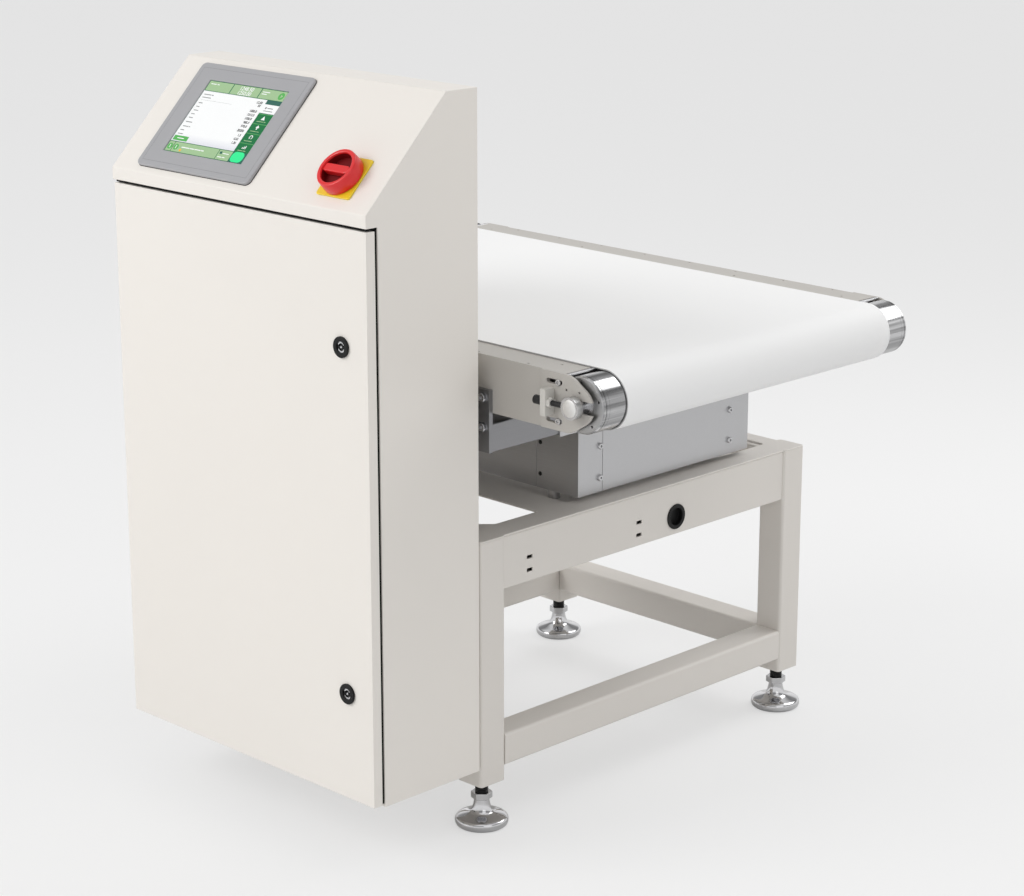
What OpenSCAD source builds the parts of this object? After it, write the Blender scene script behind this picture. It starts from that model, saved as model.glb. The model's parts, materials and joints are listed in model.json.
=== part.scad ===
// Checkweigher: a levelled steel stand carries a control cabinet, a sealed
// weigh-cell box and a short belt conveyor that rests on the weigh cell.
// Millimetres, +Z up, +X along the belt, the operator stands on the -Y side.
// The origin is on the floor below the middle of the whole machine.

/* [Stand] */
// Width of the stand, along the belt
stand_w = 550; // [480:1:640]
// Room on the stand in front of the weigh cell box
front_room = 237; // [225:1:260]
// Room on the stand behind the weigh cell box
rear_room = 104; // [96:1:130]
// Side of the square leg tube
leg_side = 50; // [44:1:56]
// Radius of the tube edges
tube_r = 5; // [2:0.5:8]
// Wall of the stand tubes
tube_wall = 3; // [2:0.5:4]
// Height of the leg's lower end above the floor
leg_low = 70; // [60:1:95]
// Length of a leg
leg_len = 376; // [340:1:430]
// Height of the upper rails
rail_h = 80; // [60:1:100]
// How far the upper side rails sit inside the leg faces
side_recess = 3; // [1:0.5:6]
// How far the upper cross rails sit inside the leg faces
cross_recess = 8; // [4:0.5:12]
// Height of the lower rails' underside above the floor
lower_rail_z = 92; // [86:1:130]
// Thickness of the top plate
top_t = 3; // [2:0.5:5]
// Depth of the plate's front border
front_border = 63; // [55:1:80]
// Depth of the front opening in the plate
front_gap = 104; // [80:1:120]
// Depth of the cross strip behind that opening
strip_d = 64; // [40:1:80]
// Depth of the plate's rear border
rear_border = 32; // [20:1:40]

/* [Feet] */
// Diameter of a foot pad
pad_d = 80; // [60:1:95]
// Height of the pad's rim
pad_rim_h = 15; // [10:1:20]
// Radius of the threaded stem
stem_r = 10; // [8:0.5:12]
// Width across the flats of the stem's hexagon
hex_af = 28; // [26:1:34]
// Height of the hexagon's underside above the floor
hex_z = 42; // [34:1:46]
// Height of the hexagon
hex_h = 10; // [6:1:14]
// Length of the stem above the hexagon
stem_len = 88; // [70:1:110]

/* [Cabinet] */
// Depth of the cabinet body behind its front wall
body_d = 187; // [170:1:230]
// Depth of the door tray
door_d = 16; // [14:0.5:20]
// Gap between the door tray and the body
door_gap = 5; // [3:0.5:6]
// Height of the cabinet's underside above the floor
cab_z = 99; // [95:1:140]
// Height of the door
door_h = 825; // [740:1:840]
// Height of the lip above the door
lip_h = 18; // [12:1:26]
// Rise of the slanted operator panel
slant_rise = 151; // [140:1:170]
// Run of the slanted operator panel
slant_run = 149; // [140:1:165]
// Sheet thickness of the cabinet
sheet = 2; // [1.5:0.5:3]
// Width of the frame round the door opening
door_frame = 29; // [24:1:40]
// Spacer between the cabinet and the stand
standoff_t = 3; // [2:0.5:6]

/* [Operator panel] */
// Width of the display bezel
bezel_w = 252; // [230:1:270]
// Height of the display bezel, along the slant
bezel_h = 189; // [175:1:195]
// Thickness of the bezel in front of the panel
bezel_t = 5; // [3:0.5:8]
// Width of the display glass
glass_w = 176; // [150:1:190]
// Height of the display glass
glass_h = 130; // [110:1:140]
// Side of the square switch plate
switch_side = 67; // [60:1:75]
// Outer radius of the switch knob
knob_r = 32; // [26:0.5:33]
// Height of the knob
knob_h = 21; // [16:1:30]

/* [Weigh cell box] */
// Width of the box
box_w = 484; // [420:1:520]
// Depth of the box
box_d = 393; // [340:1:410]
// Height of the box
box_h = 102; // [95:1:106]
// Height of the feet under the box
box_foot_h = 18; // [14:1:24]
// Thickness of the base plate of the box
base_t = 6; // [4:0.5:10]
// Width of the seam between the covers
seam = 0.8; // [0.4:0.1:1.2]
// Section of the load cell
cell_side = 40; // [30:1:44]
// Length of the load cell
cell_len = 150; // [130:1:170]

/* [Conveyor] */
// Distance between the drum axes
axis_dist = 900; // [820:1:960]
// Height of the drum axes above the floor
axis_z = 680; // [670:1:730]
// Radius of the drums
drum_r = 41; // [38:0.5:44]
// Width of the belt
belt_w = 590; // [500:1:620]
// Thickness of the belt
belt_t = 2; // [1:0.25:3]
// Width of the flange beside the belt
flange_w = 50; // [40:1:60]
// Thickness of the side frame sheet
frame_t = 3; // [2:0.5:4]
// Height of the side frames
side_h = 83; // [76:1:90]
// Distance from a drum axis back to the end of the side frame
end_room = 26; // [22:1:40]
// Thickness of the bearing plates
plate_t = 4; // [3:0.5:6]
// Radius of the axle's round end
axle_end_r = 16; // [14:0.5:18]
// Width across the flats of the axle
axle_flat = 18; // [14:0.5:20]
// Travel of the tail drum, for slackening the belt
tension_travel = 4; // [2:1:5]
// Height of the cross beams
beam_h = 43; // [36:1:50]
// Width of the cross beams
beam_w = 42; // [36:1:50]
// Distance between the outer faces of the two cross beams
beam_span = 562; // [480:1:600]
// Gap between the beams and the side frames
beam_drop = 15; // [8:1:20]

/* [Hidden] */
$fn = 48;
// One overrun serves all cuts
cut = 1;
// Radial play of everything that turns or slides in a bore
play = 0.05;
// Gap that keeps curved faces apart
air = 0.3;
// Small step of the sheet-metal details, half a sheet
unit = sheet / 2;

// Places along the depth, from the door's front face
lock_proud = 3.5;
stand_d = front_room + box_d + rear_room;
stand_front = door_d + door_gap + body_d + standoff_t;
depth = lock_proud + stand_front + stand_d + (pad_d - leg_side) / 2;
y_door = lock_proud - depth / 2;
y_body = y_door + door_d + door_gap;
y_cab_back = y_body + body_d;
y_stand = y_cab_back + standoff_t;
y_back = y_stand + stand_d;

// Heights
leg_top = leg_low + leg_len;
top_z = leg_top + top_t;
rail_low = leg_top - rail_h;
door_z = cab_z + 4 * unit;
lip_z = door_z + door_h + 4.5 * unit;
slant_z = lip_z + lip_h;
cab_top = slant_z + slant_rise;

// Slant of the operator panel
slant_a = atan2(slant_rise, slant_run);
slant_len = norm([slant_run, slant_rise]);

// Stand details
leg_in = leg_side - 2 * tube_wall;
rail_len = stand_d - 2 * leg_side;
cross_len = stand_w - 2 * leg_side;
end_plate_t = 12;
rail_t = leg_side - side_recess;
corner_cut = 16;
notch_w = 120;
notch_d = 12;
opening_r = 8;
plug_r = 20;
plug_lip = 2;
plug_depth = 9;
hole_w = 12;
hole_h = 5.5;
hole_y_shares = [0.085, 0.46];
hole_z_shares = [0.47, 0.22];
plug_y_share = 0.592;
plug_z_share = 0.36;
bar_w = 60;
bar_side_w = 40;
bar_h = 20;

// Foot details
pad_top_r = 34;
neck_r = 15;
neck_top_r = 11;
neck_z = 22;
pad_edge_z = 8;
foot_down = 30;
foot_up = 15;

// Cabinet details
cab_w = stand_w + 2 * sheet;
cab_x0 = stand_w / 2 - cab_w;
door_x0 = -stand_w / 2;
collar_depth = 11;
collar_x0 = cab_x0 + door_frame;
collar_x1 = stand_w / 2 - door_frame;
collar_z0 = cab_z + door_frame;
collar_z1 = lip_z - door_frame;
gasket_w = 10;
door_lip = 8;
hinge_in = 8;
hinge_r = 4;
pin_r = 2.5;
hinge_x = door_x0 + hinge_in;
hinge_y = y_door + hinge_in;
knuckle_h = 20;
arm_back = 1;
leaf_t = 3;
leaf_w = 14;
hinge_z_shares = [0.15, 0.85];
lock_in = 52;
lock_x = stand_w / 2 - lock_in;
lock_z_shares = [0.193, 0.801];
lock_z = [for (s = lock_z_shares) door_z + door_h * s];
lock_r = 15;
lock_body_r = 11;
lock_insert_r = 8;
lock_nut_r = 15;
lock_nut_t = 4;
cam_w = 16;
cam_t = 3;
cam_len = 45;
cam_gap = 1.5;
lock_key_r = 5.5;
lock_key_t = 2.4;
standoff_r = 15;
standoff_z = [rail_low + rail_h / 2, lower_rail_z + leg_side / 2];

// Operator panel details
bezel_x = -102;
bezel_mid = 105.5;
bezel_corner = 9;
bezel_screen_x = 1;
bezel_screen_y = 0.5;
housing_margin = 13;
housing_w = bezel_w - 2 * housing_margin;
housing_h = bezel_h - 2 * housing_margin;
housing_d = 45;
glass_t = 1.5;
switch_in = 80;
switch_x = stand_w / 2 - switch_in;
switch_mid = 52;
switch_t = 3;
switch_corner = 4;
knob_recess_r = 25;
knob_recess = 13;
grip_w = 13;
shaft_r = 5;
shaft_len = 28;
switch_depth = 48;
switch_body_side = 56;

// Things on the mounting plate
mount_t = 2.5;
mount_side_gap = 45;
mount_w = stand_w - 2 * mount_side_gap;
mount_h = 700;
mount_gap = 16;
mount_y = y_cab_back - sheet - mount_gap;
mount_rise = 70;
mount_z = cab_z + mount_rise;
stud_r = 5;
stud_in = 25;
supply_w = 125;
supply_d = 100;
supply_h = 125;
controller_w = 180;
controller_d = 70;
controller_h = 130;
inverter_w = 90;
inverter_d = 110;
inverter_h = 190;
strip_len = 380;
terminal_w = 8;
terminal_h = 52;
terminal_d = 42;
terminal_pitch = 9;
din_w = 35;
din_t = 7;
gland_r = 12;
gland_len = 22;
gland_bore_r = 5;
gland_pitch = 50;
gland_x = [-3 * gland_pitch, -2 * gland_pitch, 3 * gland_pitch];

// Weigh cell box details
box_y0 = y_stand + front_room;
box_z = top_z - 9 * unit + box_foot_h;
bar_z = box_z - box_foot_h;
corner_w = 87;
corner_d = 53;
box_foot_r = 9.5;
box_foot_x = 171;
box_foot_in = 22;
screw_r = 4.5;
screw_head = 2.5;
screw_z_shares = [0.22, 0.706];
side_screw_in = 46;
lid_hole_r = 38;
pad_t = 6;
pad_len = 46;
cell_hole_at = 0.35;
cell_hole_share = 0.3;
transfer_t = 8;
post_r = 28;

// Conveyor details
half_axis = axis_dist / 2;
side_len = axis_dist - 2 * end_room;
axle_gap = 1;
axle_reach = 17;
belt_in_r = drum_r + air;
belt_out_r = belt_in_r + belt_t;
bed_z = axis_z + belt_in_r;
belt_y0 = y_cab_back + axle_gap + axle_reach + plate_t + flange_w;
belt_y1 = belt_y0 + belt_w;
cell_y = (belt_y0 + belt_y1) / 2 - box_y0;
frame_y0 = belt_y0 - flange_w;
frame_y1 = belt_y1 + flange_w;
plate_y0 = frame_y0 - plate_t;
plate_y1 = frame_y1 + plate_t;
frame_x = side_len / 2;
low_flange = 20;
bed_t = 3;
bed_skirt = 25;
bed_edge = 12;
drum_gap = 4.5;
drum_y0 = frame_y0 + drum_gap;
drum_y1 = frame_y1 - drum_gap;
drum_wall = 4;
cap_t = 10;
cap_step = 5.5;
cap_chamfer = 2.5;
cap_groove = 0.8;
cap_holes = 5;
cap_hole_r = 2;
cap_hole_at = 33;
axle_r = 12.5;
bearing_r = 21;
bearing_t = 8;
axle_end_len = 11;
nose_w = 5;
nose_h = 2.5;
nose_x = frame_x + 4.5 * unit;
plate_in = 44;
plate_x0 = frame_x - plate_in;
nose_r = 28;
nose_out = 4;
nose_mid = half_axis + nose_out;
plate_corner_r = 34;
plate_corner_out = 3.5;
slot_len = 30;
slot_w = 6.5;
slot_in = 18.7;
slot_screw = 8.4;
slot_x = frame_x - slot_in;
slot_z = 27.5;
small_r = 1.7;
small_out = 4.5;
small_gap = 24.5;
small_x = [frame_x + small_out, frame_x + small_out + small_gap];
small_z = 19.5;
block_t = 10;
block_h = 38;
block_d = 18;
block_in = 28.5;
block_x = frame_x - block_in;
screw_m_r = 4;
screw_y = 8;
head_r = 6.5;
head_len = 16;
nut_r = 7.5;
nut_t = 6;
bracket_t = 7;
bracket_h = 92;
beam_top = axis_z - side_h / 2 - beam_drop;
beam_z = beam_top - beam_h;
beam_wall = 3;
carrier_t = 3;
carrier_d = 420;
carrier_lip = 22;
bolt_r = 7;
bolt_head = 5;
bolt_dx = 9;
flange_holes = 8;
flange_pitch = 98.8;
flange_hole_r = 2;
flange_hole_in = 6;
inner_hole_near = 168;
inner_hole_end = 39;
inner_hole_x = [inner_hole_near, frame_x - inner_hole_end];
inner_hole_in = 33;

// Rounded rectangle with true arcs at its corners
module rounded(w, h, r) {
    translate([r, 0]) square([w - 2 * r, h]);
    translate([0, r]) square([w, h - 2 * r]);
    for (x = [r, w - r], y = [r, h - r])
        translate([x, y]) circle(r);
}

// Square or oblong tube that stands up from the origin
module tube_up(w, d, len, r, wall) {
    linear_extrude(len) difference() {
        rounded(w, d, r);
        translate([wall, wall]) rounded(w - 2 * wall, d - 2 * wall, max(r - wall, wall / 2));
    }
}

// The same tube along +Y, its section in X and Z
module tube_y(w, h, len, r, wall) {
    translate([0, len, 0]) rotate([90, 0, 0]) tube_up(w, h, len, r, wall);
}

// The same tube along +X, its section in Y and Z
module tube_x(d, h, len, r, wall) {
    rotate([90, 0, 90]) tube_up(d, h, len, r, wall);
}

// Round bar along +Y, +X and -Y
module rod_y(r, len) { rotate([-90, 0, 0]) cylinder(r = r, h = len); }
module rod_x(r, len) { rotate([0, 90, 0]) cylinder(r = r, h = len); }

// Child placed on the slanted panel: x across, t up the slope, z outwards
module on_panel(x, t) {
    translate([x, y_door + t * cos(slant_a), slant_z + t * sin(slant_a)])
        rotate([slant_a, 0, 0]) children();
}

// Child and its mirror image across the middle plane of the conveyor
module both_sides() {
    children();
    translate([0, belt_y0 + belt_y1, 0]) mirror([0, 1, 0]) children();
}

module paint() { color("#c9c5bd") children(); }
module steel() { color("#a8a9ab") children(); }
module chrome() { color("#d5d6d8") children(); }
module ivory() { color("#e9e5de") children(); }
module dark() { color("#242526") children(); }

// Stand
module leg(sx, front) {
    x0 = sx > 0 ? stand_w / 2 - leg_side : -stand_w / 2;
    y0 = front ? y_stand : y_back - leg_side;
    paint() translate([x0, y0, leg_low]) {
        tube_up(leg_side, leg_side, leg_len, tube_r, tube_wall);
        translate([tube_wall, tube_wall, 0]) difference() {
            linear_extrude(end_plate_t) rounded(leg_in, leg_in, tube_r - tube_wall / 2);
            translate([leg_in / 2, leg_in / 2, -cut])
                cylinder(r = stem_r + play, h = end_plate_t + 2 * cut);
        }
    }
}
module leg_front_right() { leg(1, true); }
module leg_front_left() { leg(-1, true); }
module leg_rear_right() { leg(1, false); }
module leg_rear_left() { leg(-1, false); }

module side_rail() {
    difference() {
        tube_y(rail_t, rail_h, rail_len, tube_r / 2, tube_wall);
        for (ys = hole_y_shares, zs = hole_z_shares)
            translate([rail_t - tube_wall - cut, rail_len * ys - hole_w / 2, rail_h * zs - hole_h / 2])
                cube([tube_wall + 2 * cut, hole_w, hole_h]);
        translate([rail_t - tube_wall - cut, rail_len * plug_y_share, rail_h * plug_z_share])
            rod_x(plug_r - plug_lip, tube_wall + 2 * cut);
    }
}
module upper_rail_right() {
    paint() translate([stand_w / 2 - leg_side, y_stand + leg_side, rail_low]) side_rail();
}
module upper_rail_left() {
    paint() mirror([1, 0, 0]) translate([stand_w / 2 - leg_side, y_stand + leg_side, rail_low]) side_rail();
}
module cross_rail() {
    paint() translate([-cross_len / 2, 0, rail_low])
        tube_x(leg_side - cross_recess, rail_h, cross_len, tube_r / 2, tube_wall);
}
module upper_rail_front() { translate([0, y_stand + cross_recess, 0]) cross_rail(); }
module upper_rail_rear() { translate([0, y_back - leg_side, 0]) cross_rail(); }
module lower_side_rails() {
    paint() for (x = [-stand_w / 2, stand_w / 2 - leg_side])
        translate([x, y_stand + leg_side, lower_rail_z])
            tube_y(leg_side, leg_side, rail_len, tube_r, tube_wall);
}
module lower_cross_rails() {
    paint() for (y = [y_stand, y_back - leg_side])
        translate([-cross_len / 2, y, lower_rail_z])
            tube_x(leg_side, leg_side, cross_len, tube_r, tube_wall);
}

// Plate over the legs and upper rails, with two openings
module top_plate() {
    inner = stand_w - 2 * leg_side;
    open2 = front_border + front_gap + strip_d;
    paint() translate([0, y_stand, leg_top]) linear_extrude(top_t) difference() {
        union() {
            translate([-stand_w / 2 + side_recess, cross_recess])
                square([stand_w - 2 * side_recess, stand_d - 2 * cross_recess]);
            for (x = [-stand_w / 2, stand_w / 2 - leg_side], y = [0, stand_d - leg_side])
                translate([x, y]) rounded(leg_side, leg_side, tube_r);
        }
        polygon([[-inner / 2, front_border + corner_cut], [-inner / 2 + corner_cut, front_border],
            [inner / 2 - corner_cut, front_border], [inner / 2, front_border + corner_cut],
            [inner / 2, front_border + front_gap], [-inner / 2, front_border + front_gap]]);
        translate([-inner / 2, open2])
            rounded(inner, stand_d - open2 - rear_border - cross_recess, opening_r);
        polygon([[-notch_w / 2 - notch_d, open2 + cut], [-notch_w / 2 - notch_d, open2],
            [-notch_w / 2, open2 - notch_d], [notch_w / 2, open2 - notch_d],
            [notch_w / 2 + notch_d, open2], [notch_w / 2 + notch_d, open2 + cut]]);
    }
}

// Bars inside the large opening under the feet of the box, and flat strips that join them
module support_bars() {
    w = stand_w - 2 * leg_side;
    y0 = box_y0 + box_foot_in;
    y1 = box_y0 + box_d - box_foot_in;
    paint() union() {
        for (y = [y0, y1]) translate([-w / 2, y - bar_w / 2, bar_z - bar_h])
            tube_x(bar_w, bar_h, w, tube_wall, tube_wall / 2);
        for (x = [-w / 2, w / 2 - bar_side_w]) translate([x, y0, bar_z - tube_wall])
            cube([bar_side_w, y1 - y0, tube_wall]);
    }
}

// Round caps in the outer walls of the side rails
module rail_plugs() {
    dark() for (m = [0, 1]) mirror([m, 0, 0])
        translate([stand_w / 2 - side_recess, y_stand + leg_side + rail_len * plug_y_share,
            rail_low + rail_h * plug_z_share]) difference() {
                union() {
                    rod_x(plug_r, plug_lip);
                    translate([-plug_depth, 0, 0])
                        rod_x(plug_r - plug_lip - play, plug_depth + plug_lip);
                }
                translate([-plug_depth + plug_lip, 0, 0])
                    rod_x(plug_r - 3 * plug_lip, plug_depth + plug_lip);
            }
}

// Foot: a domed pad, and a stem with a hexagon and a flared neck
module foot(sx, front) {
    x = sx * (stand_w - leg_side) / 2;
    y = front ? y_stand + leg_side / 2 : y_back - leg_side / 2;
    chrome() translate([x, y, 0]) {
        rotate_extrude() polygon([[0, 0], [pad_top_r, 0], [pad_d / 2 - unit, pad_edge_z / 2],
            [pad_d / 2, pad_edge_z], [pad_d / 2 - unit, pad_rim_h - 2 * unit],
            [pad_top_r, pad_rim_h], [neck_r, neck_z], [0, neck_z]]);
        translate([0, 0, neck_z]) cylinder(r1 = neck_r, r2 = neck_top_r, h = (hex_z - neck_z) / 2);
        translate([0, 0, (hex_z + neck_z) / 2]) cylinder(r = neck_top_r, h = (hex_z - neck_z) / 2);
        translate([0, 0, hex_z]) rotate([0, 0, -15])
            cylinder(r = hex_af / 2 / cos(30), h = hex_h, $fn = 6);
        translate([0, 0, hex_z + hex_h]) cylinder(r = stem_r, h = stem_len);
    }
}
module foot_front_right() { foot(1, true); }
module foot_front_left() { foot(-1, true); }
module foot_rear_right() { foot(1, false); }
module foot_rear_left() { foot(-1, false); }

// Cabinet outline in Y and Z, shrunk by one sheet for its inside
function cab_outline(t) = let(
    ey = cos(slant_a), ez = sin(slant_a),
    s_lip = t * (1 - ez) / ey,
    s_top = (slant_rise - t + t * ey) / ez
) [
    [y_cab_back - t, cab_z + t],
    [y_cab_back - t, cab_top - t],
    [y_door + t * ez + s_top * ey, cab_top - t],
    [y_door + t, slant_z - t * ey + s_lip * ez],
    [y_door + t, lip_z + t],
    [y_body + t, lip_z + t],
    [y_body + t, cab_z + t]
];
// The sheet between the side walls, as far as it lies in a window of Y and Z
module cab_wrap(y0, z0, y1, z1) {
    translate([cab_x0 + sheet, 0, 0]) rotate([90, 0, 90]) linear_extrude(cab_w - 2 * sheet)
        intersection() {
            difference() {
                polygon(cab_outline(0));
                polygon(cab_outline(sheet));
            }
            translate([y0, z0]) square([y1 - y0, z1 - z0]);
        }
}
module collar_box(t, y0, y1) {
    translate([collar_x0 - t, y0, collar_z0 - t])
        cube([collar_x1 - collar_x0 + 2 * t, y1 - y0, collar_z1 - collar_z0 + 2 * t]);
}
module cabinet_sides() {
    ivory() for (x = [cab_x0, cab_x0 + cab_w - sheet])
        translate([x, 0, 0]) rotate([90, 0, 90]) linear_extrude(sheet) polygon(cab_outline(0));
}
// Rear wall with the studs of the mounting plate
module cabinet_back() {
    stud_len = y_cab_back - sheet - mount_y - mount_t;
    ivory() {
        cab_wrap(y_cab_back - sheet, cab_z, y_cab_back, cab_top);
        for (x = [-mount_w / 2 + stud_in, mount_w / 2 - stud_in], z = [stud_in, mount_h - stud_in])
            translate([x, mount_y + mount_t, mount_z + z]) rod_y(stud_r, stud_len);
    }
}
// Bottom sheet with the holes of the cable glands
module cabinet_floor() {
    ivory() difference() {
        cab_wrap(y_body, cab_z, y_cab_back - sheet, cab_z + sheet);
        for (x = gland_x) translate([x, (y_body + y_cab_back) / 2, cab_z - cut])
            cylinder(r = gland_r, h = sheet + 2 * cut);
    }
}
// Frame round the door opening, with the collar that the gasket meets
module cabinet_front() {
    ivory() difference() {
        union() {
            cab_wrap(y_body, cab_z + sheet, y_body + sheet, lip_z);
            collar_box(sheet, y_body - collar_depth, y_body + sheet);
        }
        collar_box(0, y_body - collar_depth - cut, y_body + sheet + cut);
    }
}
// Lip, slanted operator panel and top
module cabinet_hood() {
    ivory() difference() {
        cab_wrap(y_door, lip_z, y_cab_back - sheet, cab_top);
        on_panel(bezel_x, bezel_mid) translate([-housing_w / 2, -housing_h / 2, -sheet - cut])
            cube([housing_w, housing_h, sheet + 2 * cut]);
        on_panel(switch_x, switch_mid) translate([0, 0, -sheet - cut])
            cylinder(r = shaft_r + unit, h = sheet + 2 * cut);
    }
}
module cabinet_standoffs() {
    steel() for (x = [-1, 1], z = standoff_z)
        translate([x * (stand_w - leg_side) / 2, y_cab_back, z]) rod_y(standoff_r, standoff_t);
}

// Door: a shallow tray with lock holes, and hinge eyes welded inside its left edge
module door() {
    ivory() difference() {
        union() {
            difference() {
                translate([door_x0, y_door, door_z]) cube([stand_w, door_d, door_h]);
                translate([door_x0 + sheet, y_door + sheet, door_z + sheet])
                    cube([stand_w - 2 * sheet, door_d, door_h - 2 * sheet]);
            }
            for (s = hinge_z_shares, z = [-knuckle_h - air, knuckle_h + air])
                translate([hinge_x, hinge_y, door_z + door_h * s + z]) {
                    cylinder(r = hinge_r, h = knuckle_h);
                    translate([-hinge_r, sheet - hinge_in, 0])
                        cube([2 * hinge_r, hinge_in - sheet, knuckle_h]);
                }
        }
        for (s = hinge_z_shares) translate([hinge_x, hinge_y, door_z + door_h * s]) {
            translate([0, 0, -knuckle_h - air - cut])
                cylinder(r = pin_r + play, h = 3 * knuckle_h + 2 * air + 2 * cut);
            translate([-hinge_in - cut, sheet - hinge_in, -2 * unit])
                cube([sheet + 2 * cut, door_d, knuckle_h + 4 * unit]);
        }
        for (z = lock_z) translate([lock_x, y_door - cut, z]) rod_y(lock_body_r + play, sheet + 2 * cut);
    }
}
module door_gasket() {
    dark() difference() {
        collar_box(gasket_w / 2, y_door + sheet, y_body - collar_depth);
        collar_box(-gasket_w / 2, y_door, y_body);
    }
}
// Fixed halves of the hinges: a leaf on the cabinet, an arm into the door and its pin
module door_hinges() {
    steel() for (s = hinge_z_shares) translate([hinge_x, hinge_y, door_z + door_h * s]) {
        cylinder(r = hinge_r, h = knuckle_h);
        translate([-arm_back, 0, 0]) cube([hinge_r + arm_back, y_body - hinge_y, knuckle_h]);
        translate([-arm_back, y_body - hinge_y - leaf_t, 0]) cube([leaf_w, leaf_t, knuckle_h]);
        translate([0, 0, -knuckle_h]) cylinder(r = pin_r, h = 3 * knuckle_h);
    }
}
module lock_housings() {
    dark() for (z = lock_z) translate([lock_x, y_door, z]) difference() {
        union() {
            translate([0, -lock_proud, 0]) rod_y(lock_r, lock_proud);
            rod_y(lock_body_r, door_d + sheet);
            translate([0, sheet, 0]) rod_y(lock_nut_r, lock_nut_t);
        }
        translate([0, -lock_proud - cut, 0])
            rod_y(lock_insert_r + play, lock_proud + door_d + sheet + 2 * cut);
    }
}
// Turning insert of a lock, with its cam behind the door frame
module lock_cam(z) {
    end = door_d + door_gap + sheet + cam_gap;
    color("#b9babc") translate([lock_x, y_door, z]) {
        difference() {
            translate([0, -lock_proud + lock_key_t, 0]) rod_y(lock_insert_r, end + lock_proud - lock_key_t);
            translate([0, -lock_proud, 0]) rod_y(lock_key_r, 2 * lock_key_t);
        }
        translate([0, -lock_proud + lock_key_t, 0]) rod_y(lock_key_r / 2, lock_key_t);
        translate([-lock_key_r, -lock_proud + lock_key_t, -lock_key_t / 4])
            cube([2 * lock_key_r, lock_key_t, lock_key_t / 2]);
        translate([-cam_w / 2, end, -cam_w / 2]) cube([cam_w, cam_t, cam_len + cam_w / 2]);
    }
}
module lock_cam_upper() { lock_cam(lock_z[1]); }
module lock_cam_lower() { lock_cam(lock_z[0]); }

// Operator panel
module hmi_bezel() {
    color("#9fa0a4") on_panel(bezel_x, bezel_mid) difference() {
        translate([-bezel_w / 2, -bezel_h / 2, 0])
            linear_extrude(bezel_t) rounded(bezel_w, bezel_h, bezel_corner);
        translate([bezel_screen_x - glass_w / 2, bezel_screen_y - glass_h / 2, -cut])
            cube([glass_w, glass_h, bezel_t + 2 * cut]);
    }
}
module hmi_glass() {
    color("#dfe6dc") on_panel(bezel_x, bezel_mid)
        translate([bezel_screen_x - glass_w / 2, bezel_screen_y - glass_h / 2, 0])
            cube([glass_w, glass_h, bezel_t - glass_t]);
}
module hmi_housing() {
    dark() on_panel(bezel_x, bezel_mid) translate([-housing_w / 2, -housing_h / 2, -housing_d])
        cube([housing_w, housing_h, housing_d]);
}
module switch_plate() {
    color("#e8d200") on_panel(switch_x, switch_mid) difference() {
        translate([-switch_side / 2, -switch_side / 2, 0])
            linear_extrude(switch_t) rounded(switch_side, switch_side, switch_corner);
        translate([0, 0, -cut]) cylinder(r = shaft_r + unit, h = switch_t + 2 * cut);
    }
}
module switch_knob() {
    color("#b3181c") on_panel(switch_x, switch_mid) {
        translate([0, 0, switch_t + air]) difference() {
            cylinder(r1 = knob_r, r2 = knob_r - unit, h = knob_h);
            translate([0, 0, knob_h - knob_recess]) difference() {
                cylinder(r = knob_recess_r, h = knob_recess + cut);
                translate([-knob_recess_r - cut, -grip_w / 2, -cut])
                    cube([2 * knob_recess_r + 2 * cut, grip_w, knob_recess + 3 * cut]);
            }
        }
        translate([0, 0, switch_t + air - shaft_len]) cylinder(r = shaft_r, h = shaft_len);
    }
}
module switch_body() {
    s = switch_body_side;
    dark() on_panel(switch_x, switch_mid) difference() {
        translate([-s / 2, -s / 2, -sheet - switch_depth]) cube([s, s, switch_depth]);
        translate([0, 0, -shaft_len - cut]) cylinder(r = shaft_r + play, h = shaft_len);
    }
}

// Inside the cabinet
module on_mount(x, z) { translate([x, mount_y, mount_z + z]) children(); }
module block_on_mount(size, x, z) {
    on_mount(x - size[0] / 2, z) translate([0, -size[1], 0]) cube(size);
}
module mounting_plate() {
    color("#c4a44e") on_mount(-mount_w / 2, 0) cube([mount_w, mount_t, mount_h]);
}
module power_supply() {
    steel() block_on_mount([supply_w, supply_d, supply_h], -mount_w / 4, mount_h * 0.62);
}
module weigh_controller() {
    color("#4d5a63") block_on_mount([controller_w, controller_d, controller_h], mount_w / 5, mount_h * 0.65);
}
module drum_inverter() {
    color("#5b6670") block_on_mount([inverter_w, inverter_d, inverter_h], -mount_w / 4, mount_h * 0.27);
}
module terminal_strip() {
    on_mount(-strip_len / 2, mount_h * 0.1) {
        steel() translate([0, -din_t, 0]) cube([strip_len, din_t, din_w]);
        color("#8b8f8a") for (x = [terminal_pitch : terminal_pitch : strip_len / 2])
            translate([x, -din_t - terminal_d, (din_w - terminal_h) / 2])
                cube([terminal_w, terminal_d, terminal_h]);
    }
}
module cable_glands() {
    dark() for (x = gland_x) translate([x, (y_body + y_cab_back) / 2, cab_z]) difference() {
        union() {
            cylinder(r = gland_r - play, h = gland_len);
            translate([0, 0, -gland_len]) cylinder(r = gland_r + 3 * unit, h = gland_len, $fn = 6);
            translate([0, 0, sheet]) cylinder(r = gland_r + 3 * unit, h = 3 * sheet, $fn = 6);
        }
        translate([0, 0, -gland_len - cut]) cylinder(r = gland_bore_r, h = 2 * gland_len + 2 * cut);
    }
}

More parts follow.
